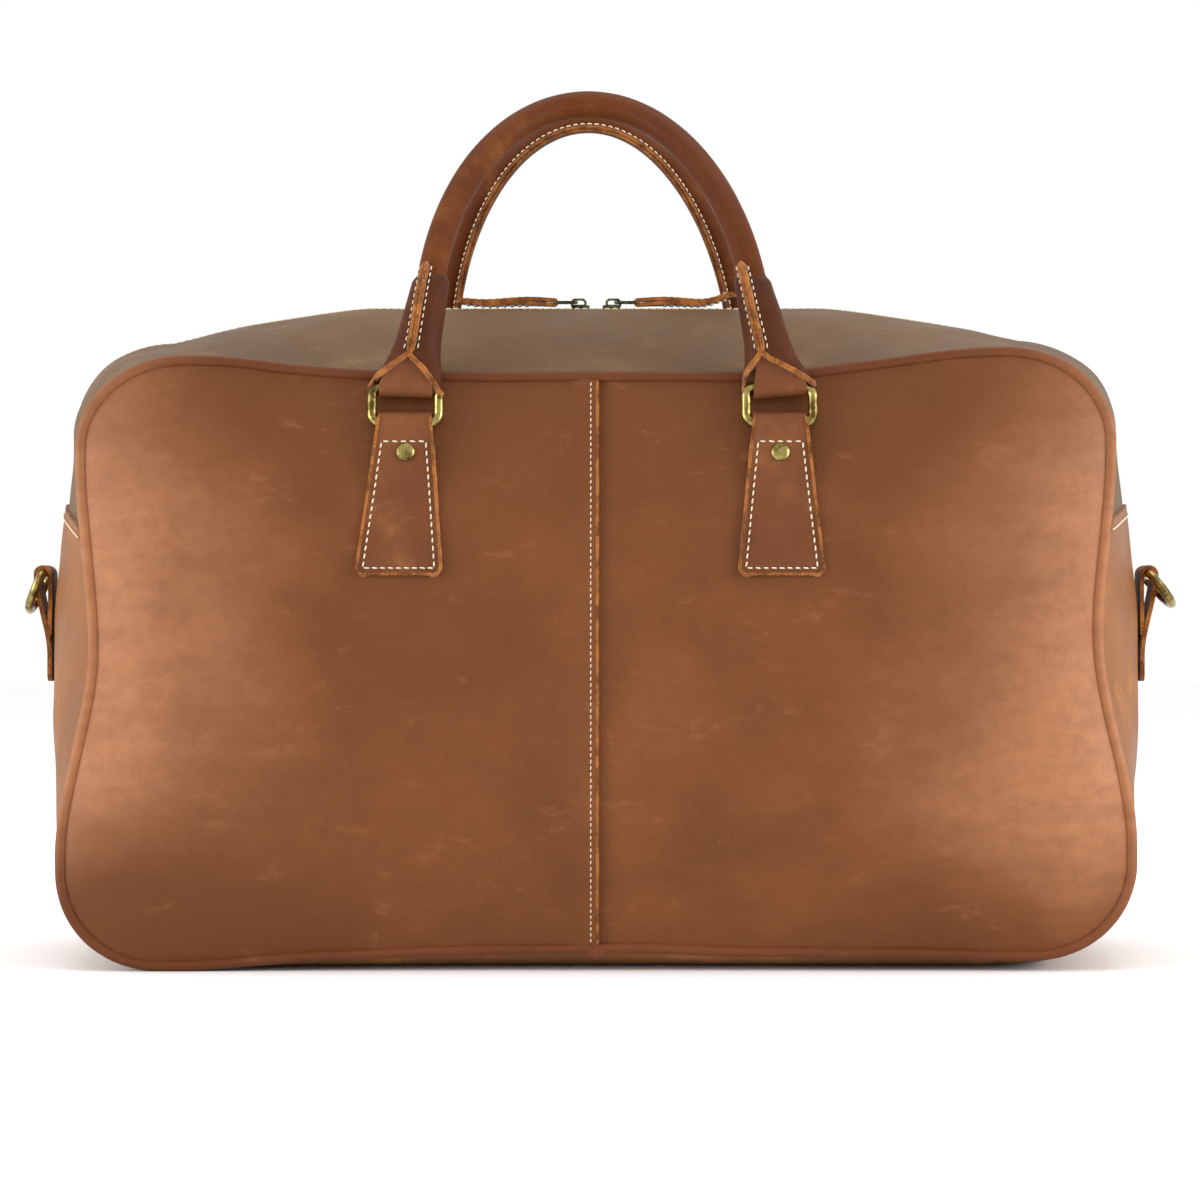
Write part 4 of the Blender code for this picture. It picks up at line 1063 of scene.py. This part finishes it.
def tab_half(z):
    """Half the tab's width at a height, with rounded lower corners."""
    half = mix(*TAB_HALVES, min(1.0, max(0.0, tab_down(z))))
    corner = max(0.0, TAB_CORNER - (z - TAB_BOTTOM_Z))
    return half - (TAB_CORNER - math.sqrt(max(0.0, TAB_CORNER ** 2 - corner ** 2)))


def tab_lift(z):
    """How far the front ply's outer face stands off the panel at a height."""
    return mix(0.0024, 0.0062, ease((z - 0.226) / 0.024))


def near_loop(z):
    """0 where the tab lies on the panel, 1 where it goes round the ring's bar."""
    return ease((z - 0.246) / 0.0126)


def tab_depth(x, z):
    """Distance of the front ply's outer face from the middle plane."""
    return mix(panel_depth(x, z) + tab_lift(z), LOWER_BAR[0] + TAB_LOOP, near_loop(z))


def make_tabs():
    bar_y, bar_z = LOWER_BAR
    for face, sy in FACES:
        for label, side in SIDES:
            path = [(z, "back") for z in steps(TAB_BACK_Z, bar_z - 0.004, 12)]
            path += [(angle, "loop") for angle in steps(8.0, 172.0, 16)]
            path += [(z, "front") for z in steps(bar_z - 0.004, TAB_BOTTOM_Z + 0.006, 60)]
            path += [(z, "front") for z in steps(TAB_BOTTOM_Z + 0.0055, TAB_BOTTOM_Z + 0.00002, 16)]
            rows = []
            for value, kind in path:
                z = value if kind != "loop" else bar_z + TAB_LOOP * math.sin(math.radians(value))
                middle = tab_middle(z, side)
                half = tab_half(z) if kind != "back" else 0.0124
                row = []
                for share in steps(-1.0, 1.0, 31):
                    fray = 0.00042 * rough(share * 9.0 + side, z, 0.0, 0.0035, 2.0 + sy)
                    fray *= ease((abs(share) - 0.8) / 0.2)
                    x = middle + share * (half + fray)
                    if kind == "loop":
                        depth = bar_y - TAB_LOOP * math.cos(math.radians(value))
                    elif kind == "back":
                        join = ease((value - TAB_BACK_Z) / (bar_z - 0.004 - TAB_BACK_Z))
                        depth = mix(panel_depth(x, z) + 0.0006, bar_y - TAB_LOOP, join)
                    else:
                        depth = tab_depth(x, z)
                        depth += 0.0006 * ease((abs(share) - 0.86) / 0.14) * (1.0 - near_loop(z))
                        depth += 0.0003 * rough(x, 0.0, z, 0.012, 7.0)
                    row.append(Vector((x, sy * depth, z)))
                rows.append(row)
            form = shell(rows, STRAP_PLY, flip=(sy < 0))
            tab_rim(form, sy, side)
            obj = form.make(f"{face}_{label}_tab_leather", [TAB, FLESH, RAW])
            place(obj, replaces=[f"handle_tab_{face}_{label}"])
            make_tab_stitches(face, sy, label, side)
            make_rivet(face, sy, label, side)


def tab_rim(form, sy, side):
    """The fibrous cut edge that shows round the tab from the ring down."""
    inside = 0.0004
    heights = steps(0.2655, TAB_BOTTOM_Z + 0.0046, 90)
    heights += [TAB_BOTTOM_Z + 0.0045 * (1.0 - math.sin(math.radians(a))) for a in steps(4.0, 88.0, 16)]
    left = [(tab_middle(z, side) - tab_half(z) + inside, z) for z in heights]
    right = [(tab_middle(z, side) + tab_half(z) - inside, z) for z in heights]
    low = [(x, TAB_BOTTOM_Z + inside) for x in steps(left[-1][0], right[-1][0], 60)[1:-1]]
    path = []
    for x, z in left + low + right[::-1]:
        path.append(Vector((x, sy * (tab_depth(x, z) + 0.0005 * (1.0 - near_loop(z))), z)))
    raised_strip(form, path, Vector((0.0, sy, 0.0)), 0.0014, 0.0005, side + sy + 4.0)


def make_tab_stitches(face, sy, label, side):
    """The closed row of stitches just inside the tab's edge."""
    margin = 0.0034
    high, low = 0.2535, TAB_BOTTOM_Z + 0.0032

    def on_tab(x, z):
        return Vector((x, sy * (tab_depth(x, z) + 0.0001), z))

    def edge(hand, z):
        return on_tab(tab_middle(z, side) + hand * (mix(*TAB_HALVES, tab_down(z)) - margin), z)

    left = [edge(-1, z) for z in steps(high, low, 40)]
    right = [edge(1, z) for z in steps(low, high, 40)]
    bottom = [on_tab(x, low) for x in steps(left[-1].x, right[0].x, 20)]
    top = [on_tab(x, high) for x in steps(right[-1].x, left[0].x, 14)]
    form = Form()
    for line in (left, bottom, right, top):
        stitches(form, line, Vector((0.0, sy, 0.12)), pitch=0.0037, length=0.0026)
    place(form.make(f"{face}_{label}_tab_stitches", [THREAD]))


def make_rivet(face, sy, label, side):
    """A domed rivet with a rim, and its post and washer behind the panel."""
    x = tab_middle(RIVET_Z, side) + (0.001 if side < 0 else 0.0)
    tilt = math.radians(11.6)
    direction = Vector((0.0, sy * math.cos(tilt), math.sin(tilt)))
    seat = Vector((x, sy * tab_depth(x, RIVET_Z), RIVET_Z))
    profile = [(0.0036, -0.0098), (0.0038, -0.0095), (0.0036, -0.0090), (0.0013, -0.0089), (0.0013, -0.0001),
               (0.0041, -0.0002), (0.0045, 0.0001), (0.0046, 0.0005), (0.0044, 0.0009), (0.0040, 0.0012),
               (0.0034, 0.0015), (0.0026, 0.0018), (0.0016, 0.0020), (0.0006, 0.0021)]
    obj = lathe(seat, direction, profile).make(f"{face}_{label}_rivet_cap", [BRASS])
    place(obj, replaces=[f"rivet_{face}_{label}"])


def make_rings():
    for face, sy in FACES:
        for label, side in SIDES:
            low = Vector((0.0, sy * LOWER_BAR[0], LOWER_BAR[1]))
            high = Vector((0.0, sy * UPPER_BAR[0], UPPER_BAR[1]))
            up = (high - low).normalized()
            half_h = (high - low).length / 2
            loop = []
            for quarter in range(4):
                cu = (RING_HALF_W - RING_BEND) * (1 if quarter in (0, 3) else -1)
                cv = (half_h - RING_BEND) * (1 if quarter in (0, 1) else -1)
                for i in range(10):
                    angle = math.radians(90.0 * quarter + 10.0 * i)
                    u, v = cu + RING_BEND * math.cos(angle), cv + RING_BEND * math.sin(angle)
                    sideways = Vector((side * RING_X + RING_SHIFT[side] + u, 0.0, 0.0))
                    loop.append((low + high) / 2 + up * v + sideways)
            form = closed_wire(loop, RING_WIRE, up.cross(Vector((1.0, 0.0, 0.0))))
            obj = form.make(f"{face}_{label}_ring_brass", [BRASS])
            place(obj, f"ring_{face}_{label}", [f"ring_{face}_{label}"])


# ---- side chapes and D-rings ----
D_RING_WIRE = 0.0022
CHAPE_CORNER = 0.004


def make_side_hardware():
    for label, side in SIDES:
        swing = [joint for joint in frame["joints"] if joint["name"] == f"d_ring_{label}_swing"][0]
        bar_x, bar_z = abs(swing["pos_m"][0]) - 0.0008, swing["pos_m"][2]
        loop = D_RING_WIRE + 0.0003 + STRAP_PLY

        def back_x(z):
            return mix(mid_side_x(z) + 0.0004, bar_x - loop, ease((z - 0.158) / (bar_z - 0.158)))

        def front_x(z):
            return mix(mid_side_x(z) + STRAP_PLY + 0.0005, bar_x + loop, ease((z - 0.150) / (bar_z - 0.150)))

        path = [(back_x(z), z) for z in steps(0.160, bar_z, 10)]
        path += [(bar_x - loop * math.cos(math.radians(a)), bar_z + loop * math.sin(math.radians(a)))
                 for a in steps(12.0, 180.0, 15)]
        path += [(front_x(z), z) for z in steps(bar_z - 0.001, 0.137, 40)]
        rows = []
        for x, z in path:
            row = []
            corner = min(max(0.0, CHAPE_CORNER - (z - 0.13698)), CHAPE_CORNER)
            cut = CHAPE_CORNER - math.sqrt(max(0.0, CHAPE_CORNER ** 2 - corner ** 2))
            for share in steps(-1.0, 1.0, 21):
                fray = 0.0003 * rough(share * 5.0, z, side, 0.003, 3.0) * ease((abs(share) - 0.8) / 0.2)
                row.append(Vector((side * x, share * (0.0103 - cut + fray), z)))
            rows.append(row)
        form = shell(rows, STRAP_PLY, flip=(side > 0))
        corners = [(-0.0074, 0.158), (-0.0074, 0.1405), (0.0074, 0.1405), (0.0074, 0.158), (-0.0074, 0.158)]
        for (y0, z0), (y1, z1) in zip(corners, corners[1:]):
            line = []
            for share in steps(0.0, 1.0, 12):
                z = mix(z0, z1, share)
                line.append(Vector((side * (front_x(z) + 0.0001), mix(y0, y1, share), z)))
            stitches(form, line, Vector((side, 0.0, 0.0)), pitch=0.0034, length=0.0024, finish=SEWN)
        obj = form.make(f"{label}_chape_leather", [TAB, FLESH, RAW, THREAD])
        place(obj, replaces=[f"side_chape_{label}"])
        tilt = math.radians(24.0 if side < 0 else 40.0)
        down = Vector((side * math.sin(tilt), 0.0, -math.cos(tilt)))
        pivot = Vector((side * bar_x, 0.0, bar_z))
        loop_points = [pivot + Vector((0.0, y, 0.0)) for y in steps(-0.0128, 0.0128, 9)]
        for i in range(25):
            angle = math.radians(7.5 * i)
            reach = 0.0028 + (0.0195 - 0.0028) * math.sin(angle) ** 0.85
            loop_points.append(pivot + Vector((0.0, 0.0150 * math.cos(angle), 0.0)) + down * reach)
        form = closed_wire(loop_points, D_RING_WIRE, Vector((0.0, 1.0, 0.0)).cross(down))
        obj = form.make(f"{label}_d_ring_brass", [BRASS])
        place(obj, f"d_ring_{label}", [f"d_ring_{label}"])


# ---- handles ----
# the fin's direction: shares into the arch and towards the middle plane
FIN = {"front": (0.22, 0.975), "rear": (0.50, 0.87)}


def leg_x(z):
    height = min(1.0, (z - ARCH_Z) / ARCH_B)
    flare = 0.0108 * max(0.0, (0.340 - z) / 0.0604) ** 2.4
    return ARCH_A * math.sqrt(max(0.0, 1.0 - height * height)) + flare


def lean_y(z):
    span = ARCH_Z + ARCH_B - 0.285
    return UPPER_BAR[0] - 0.084 * (max(0.0, z - 0.285) / span) ** 1.8


def lean_x(z):
    """The whole handle leans to the left, more towards its top."""
    return mix(-0.0014, -0.0040, ease((z - 0.285) / 0.14))


def handle_point(z, side, sy):
    return Vector((side * leg_x(z) + lean_x(z), sy * lean_y(z), z))


def handle_path(lowest, sy, count):
    first = math.asin((lowest - ARCH_Z) / ARCH_B)
    heights = [ARCH_Z + ARCH_B * math.sin(angle) for angle in steps(first, math.pi / 2, count)]
    return [handle_point(z, 1, sy) for z in heights] + [handle_point(z, -1, sy) for z in heights[-2::-1]]


def make_handles():
    for face, sy in FACES:
        points = handle_path(0.2995, sy, 60)
        centre = Vector((lean_x(0.40), 0.0, 0.315))
        ups = []
        for point in points:
            inner = Vector((centre.x - point.x, 0.0, centre.z - point.z)).normalized()
            ups.append((inner * FIN[face][0] + Vector((0.0, -sy * FIN[face][1], 0.0))).normalized())

        def tube_radius(i, point, angle):
            radius = TUBE_R * (1.0 + 0.012 * rough(point.x, point.z, angle, 0.012, 1.0))
            return radius + 0.0010 * max(0.0, math.sin(angle)) ** 6

        def rope_radius(i, point, angle):
            return ROPE_R + 0.0005 * math.cos(3.0 * angle + 0.9 * i)

        form = tube(Form(), round_rings(points, ups, 26, tube_radius))
        keep = [i for i, point in enumerate(points) if point.z > FIN_LOW_Z]
        fin_frames = frames([points[i] for i in keep], [ups[i] for i in keep])
        rings = []
        for point, across, rise in fin_frames:
            wave = 0.0009 * rough(point.x, point.z, sy, 0.014, 2.0)
            wave += 0.0003 * rough(point.x, point.z, sy, 0.004)
            split = 0.0003 + 0.0003 * abs(rough(point.x, point.z, sy, 0.012, 9.0))
            profile = [(-0.0015, TUBE_R * 0.8), (-0.0016, FIN_REACH - 0.0006), (-0.0013, FIN_REACH + wave),
                       (-split, FIN_REACH + wave), (0.0, FIN_REACH - 0.0009), (split, FIN_REACH - wave),
                       (0.0013, FIN_REACH - wave), (0.0016, FIN_REACH - 0.0006), (0.0015, TUBE_R * 0.8)]
            rings.append([point + across * u + rise * v for u, v in profile])
        tube(form, rings, [0, 1, 1, 1, 1, 1, 1, 0, 0], "open")
        for hand in (-1, 1):
            line = [point + across * (hand * 0.00165) + rise * (TUBE_R + 0.0024)
                    for point, across, rise in fin_frames]
            normals = [across * hand for point, across, rise in fin_frames]
            stitches(form, line, normals, pitch=0.0036, length=0.0026, finish=2)
        obj = form.make(f"{face}_handle_leather", [HANDLE, RAW, THREAD])
        place(obj, f"handle_{face}", [f"handle_tube_{face}"])
        core = tube(Form(), round_rings(points, ups, 24, rope_radius))
        obj = core.make(f"{face}_handle_core_rope", [CORE])
        place(obj, f"handle_{face}", [f"handle_core_{face}"])
        for label, side in SIDES:
            make_wrap(face, sy, label, side)


WRAP_SECTIONS = ((0.2735, 0.0182, 0.0042), (0.2793, 0.0176, 0.0048), (0.2850, 0.0157, 0.0056),
                 (0.2900, 0.0139, 0.0068), (0.2951, 0.0123, 0.0082), (0.3010, 0.0113, 0.0092),
                 (0.3080, 0.0106, 0.0097), (0.3171, 0.0100, 0.0098), (0.3300, 0.0090, 0.0091),
                 (0.3420, 0.0086, 0.0087))


def wrap_section(z):
    """Half width and half depth of a wrap's outer face at a height."""
    for (z0, a0, b0), (z1, a1, b1) in zip(WRAP_SECTIONS, WRAP_SECTIONS[1:]):
        if z <= z1:
            share = min(1.0, max(0.0, (z - z0) / (z1 - z0)))
            return mix(a0, a1, share), mix(b0, b1, share)
    return WRAP_SECTIONS[-1][1:]


def wrap_point(angle, z, side, sy, out=0.0):
    """A point on a wrap's outer face: angle 0 looks straight out of the bag, and 90 degrees to +X."""
    half_x, half_y = wrap_section(z)
    flat = mix(0.62, 1.0, ease((z - 0.283) / 0.020))
    u = math.copysign(abs(math.sin(angle)) ** flat, math.sin(angle)) * (half_x + out)
    v = math.copysign(abs(math.cos(angle)) ** flat, math.cos(angle)) * (half_y + out)
    middle = handle_point(max(z, 0.2790), side, sy)
    return Vector((middle.x + u, middle.y + sy * v, z))


def make_wrap(face, sy, label, side):
    """The leather sleeve on a handle's end: a stitched raw fin that splits into a V over the ring."""
    fin, fin_low = (-0.40, -0.16) if side < 0 else (-0.46, -0.34)    # the fin's angle at the top and the V
    apex = 0.2952
    corner_left, corner_right = (0.2790, 0.2750) if side < 0 else (0.2740, 0.2805)

    def low_z(angle):
        swing = math.sin(angle)
        lean = math.sin(fin_low) if math.cos(angle) > 0 else 0.0
        away = abs(swing - lean) / (1.0 + abs(lean))
        low = corner_right if swing > lean else corner_left
        fray = 0.0003 * rough(angle * 0.02, side, sy, 0.004, 4.0)
        return mix(apex, low, min(1.0, away)) + fray

    def top_z_at(angle):
        near = math.exp(-((angle - fin) / 0.40) ** 2)
        return 0.3338 + 0.0052 * near

    angles = [2 * math.pi * k / 72 - math.pi for k in range(72)]
    rows = []
    for s in [0.0, 0.012, 0.03, 0.055, 0.09] + steps(0.13, 1.0, 34):
        row = []
        for angle in angles:
            z = mix(top_z_at(angle), low_z(angle), s)
            shoulder = -0.0016 * (1.0 - ease(s / 0.07)) ** 1.5
            crease = 0.00035 * rough(angle * 0.01, z, side + sy, 0.010, 3.0)
            row.append(wrap_point(angle, z, side, sy, shoulder + crease))
        rows.append(row)
    form = shell(rows, WRAP_PLY, closed=True, flip=(sy < 0))
    ridge = []
    for s in steps(0.0, 1.0, 30):
        angle = mix(fin, fin_low, s ** 1.4)
        z = mix(top_z_at(fin) + 0.0012, apex + 0.0004, s)
        ridge.append((wrap_point(angle, z, side, sy, -0.0004), angle))
    path = [point for point, _ in ridge]
    ups = [Vector((math.sin(angle), sy * math.cos(angle), 0.0)) for _, angle in ridge]
    raised_strip(form, path, ups, 0.0042, 0.0024, side)
    for shift in (-0.0031, 0.0031):
        line = []
        for (point, angle), up in zip(ridge[1:-1], ups[1:-1]):
            half_x = wrap_section(point.z)[0]
            line.append(wrap_point(angle + shift / half_x, point.z, side, sy, 0.0002))
        stitches(form, line, ups[1:-1], pitch=0.0036, radius=0.00036, finish=SEWN)
    angles = [math.pi * 2 * k / 120 - math.pi for k in range(121)]
    bead = [wrap_point(angle, low_z(angle) + 0.0007, side, sy, -0.0002) for angle in angles]
    ups = [Vector((math.sin(angle), sy * math.cos(angle), 0.0)) for angle in angles]
    raised_strip(form, bead, ups, 0.0026, 0.0009, side + 3.0)
    obj = form.make(f"{face}_{label}_wrap_leather", [WRAP, FLESH, RAW, THREAD])
    place(obj, f"handle_{face}", [f"handle_wrap_{face}_{label}"])
    make_fold(face, sy, label, side)


def raised_strip(form, path, ups, width, height, seed):
    """A cut edge of two plies standing proud of the surface along a path."""
    rings = []
    for i, (point, across, rise) in enumerate(frames(path, ups)):
        end = min(1.0, 0.35 + min(i, len(path) - 1 - i) / 2.0)
        fray = 1.0 + 0.16 * rough(point.x, point.y, point.z, 0.0022, seed)
        w, h = width / 2 * end * fray, height * end
        groove = 0.72 + 0.12 * rough(point.x, point.y, point.z, 0.003, seed + 1.0)
        profile = [(-w, -0.0008), (-w, h * 0.70), (-w * 0.72, h), (-w * 0.16, h), (0.0, h * groove),
                   (w * 0.16, h), (w * 0.72, h), (w, h * 0.70), (w, -0.0008)]
        rings.append([point + across * u + rise * v for u, v in profile])
    return tube(form, rings, CUT)


def make_fold(face, sy, label, side):
    """The leather that goes down inside the wrap, round the ring's upper bar and back up."""
    bar_y, bar_z = UPPER_BAR
    radius = RING_WIRE + 0.0003 + 0.0020    # of the fold's outer face

    def spread(z):
        return mix(radius, wrap_section(z)[1] - 0.0021, ease((z - bar_z) / 0.010))

    path = [(lean_y(z) + spread(z), z) for z in steps(0.2970, bar_z, 14)]
    path += [(bar_y + radius * math.cos(math.radians(a)), bar_z - radius * math.sin(math.radians(a)))
             for a in steps(12.0, 168.0, 14)]
    path += [(lean_y(z) - spread(z), z) for z in steps(bar_z, 0.2970, 14)]
    rows = []
    for y, z in path:
        row = []
        for share in steps(-1.0, 1.0, 21):
            half = mix(0.0126, 0.0082, ease((z - bar_z) / 0.014))
            ring_middle = side * RING_X + RING_SHIFT[side] * 0.9
            middle = mix(ring_middle, handle_point(z, side, sy).x, ease((z - bar_z) / 0.012))
            sag = 0.0004 * rough(share, z, y, 0.02, 5.0)
            tilt = 0.0012 * share * (1.0 if side > 0 else -0.3) * ease((0.279 - z) / 0.003)
            row.append(Vector((middle + share * half, sy * (y + sag), z + tilt)))
        rows.append(row)
    form = shell(rows, PANEL_PLY, flip=(sy < 0))
    obj = form.make(f"{face}_{label}_wrap_fold", [TAB, FLESH, RAW])
    place(obj, f"handle_{face}")


# ---- inside ----
def make_lining():
    """The open tub of cloth inside: front and rear faces, and the wall between them."""
    inset, face_y, tall = 0.0062, 0.0985, 0.945
    for face, sy in FACES:
        rows = []
        for v in steps(1.0, 0.0, 34):
            row = []
            for u in steps(-1.0, 1.0, 61):
                side = -1 if u < 0 else 1
                x, z, _ = panel_point(abs(u), v, side, sy)
                x = max(0.0, x - inset * abs(u) ** 4)
                z = mix(z, 0.145, 0.035 * abs(2.0 * v - 1.0) ** 3)
                wave = 0.0016 * rough(side * x, 0.0, z, 0.05, 6.0 + sy)
                row.append(Vector((side * x, sy * (face_y + wave), z * tall)))
            rows.append(row)
        form = shell(rows, CLOTH_PLY, CLOTH_KINDS, flip=(sy < 0))
        obj = form.make(f"{face}_lining_cloth", [LINING])
        place(obj, replaces=["lining"] if sy < 0 else ())
    rows = []
    for side, stations in ((1, steps(1.72, 5.0, 80)), (-1, steps(5.0, 1.72, 80)[1:])):
        for t in stations:
            row = []
            for depth in steps(-face_y, face_y, 15):
                x, z = rim(t, side)
                nx, nz = outward(t, side)
                row.append(Vector((side * (x - nx * inset), depth, z - nz * inset)))
            rows.append(row)
    form = shell(rows, CLOTH_PLY, CLOTH_KINDS, flip=True)
    obj = place(form.make("lining_wall_cloth", [LINING]))


def finish_frame_nodes():
    """Better materials on the nodes that stay as the frame has them."""
    kinds = {"slider": ZIP_BRASS, "pull_link": ZIP_BRASS, "base_board": FIBRE}
    for name, obj in frame["nodes"].items():
        for start, material in kinds.items():
            if name.startswith(start):
                for slot in obj.material_slots:
                    slot.material = material
                if not obj.material_slots:
                    obj.data.materials.append(material)


# ---- camera, light and floor ----
CAMERA_LENS = (113.75, 36.0)    # focal length and sensor width, mm
CAMERA_PLACE = (0.002, -1.925, 0.178)
FLOOR_HALF = 6.0


def area_light(name, place_at, target, size, energy):
    data = bpy.data.lights.new(name, "AREA")
    data.shape = "RECTANGLE"
    data.size, data.size_y = size
    data.energy = energy
    obj = bpy.data.objects.new(name, data)
    obj.location = place_at
    obj.rotation_euler = (Vector(target) - Vector(place_at)).to_track_quat("-Z", "Y").to_euler()
    bpy.context.scene.collection.objects.link(obj)


def make_studio():
    scene = bpy.context.scene
    scene.view_settings.view_transform = "Standard"
    camera_data = bpy.data.cameras.new("camera")
    camera_data.lens, camera_data.sensor_width = CAMERA_LENS
    camera = bpy.data.objects.new("camera", camera_data)
    camera.location = CAMERA_PLACE
    camera.rotation_euler = (math.radians(90.0), 0.0, 0.0)
    scene.collection.objects.link(camera)
    scene.camera = camera
    world = bpy.data.worlds.new("studio")
    world.use_nodes = True
    world.node_tree.nodes["Background"].inputs["Color"].default_value = (1.0, 1.0, 1.0, 1.0)
    world.node_tree.nodes["Background"].inputs["Strength"].default_value = 1.0
    scene.world = world
    area_light("key_left", (-2.1, -1.0, 0.55), (-0.1, 0.0, 0.15), (1.0, 1.4), 38.0)
    area_light("key_right", (2.1, -1.0, 0.55), (0.1, 0.0, 0.15), (1.0, 1.4), 42.0)
    area_light("top", (0.0, 0.1, 1.9), (0.0, 0.0, 0.2), (1.6, 1.0), 12.0)
    finish = Finish("pale_floor", 0.9, specular=0.1)
    tone = finish.blend(finish.clouds(3.0), linear(250, 250, 250), linear(252, 252, 252))
    finish.colour(tone)
    data = bpy.data.meshes.new("floor")
    corners = [(x * FLOOR_HALF, y * FLOOR_HALF, 0.0) for x, y in ((-1, -1), (1, -1), (1, 1), (-1, 1))]
    data.from_pydata(corners, [], [(0, 1, 2, 3)])
    data.materials.append(finish.material)
    floor = bpy.data.objects.new("floor", data)
    floor.location.z = -0.0002
    scene.collection.objects.link(floor)


make_panels()
make_piping()
make_gussets()
make_bands()
make_welts()
make_zip()
make_pullers()
make_tabs()
make_rings()
make_side_hardware()
make_handles()
make_lining()
finish_frame_nodes()
make_studio()
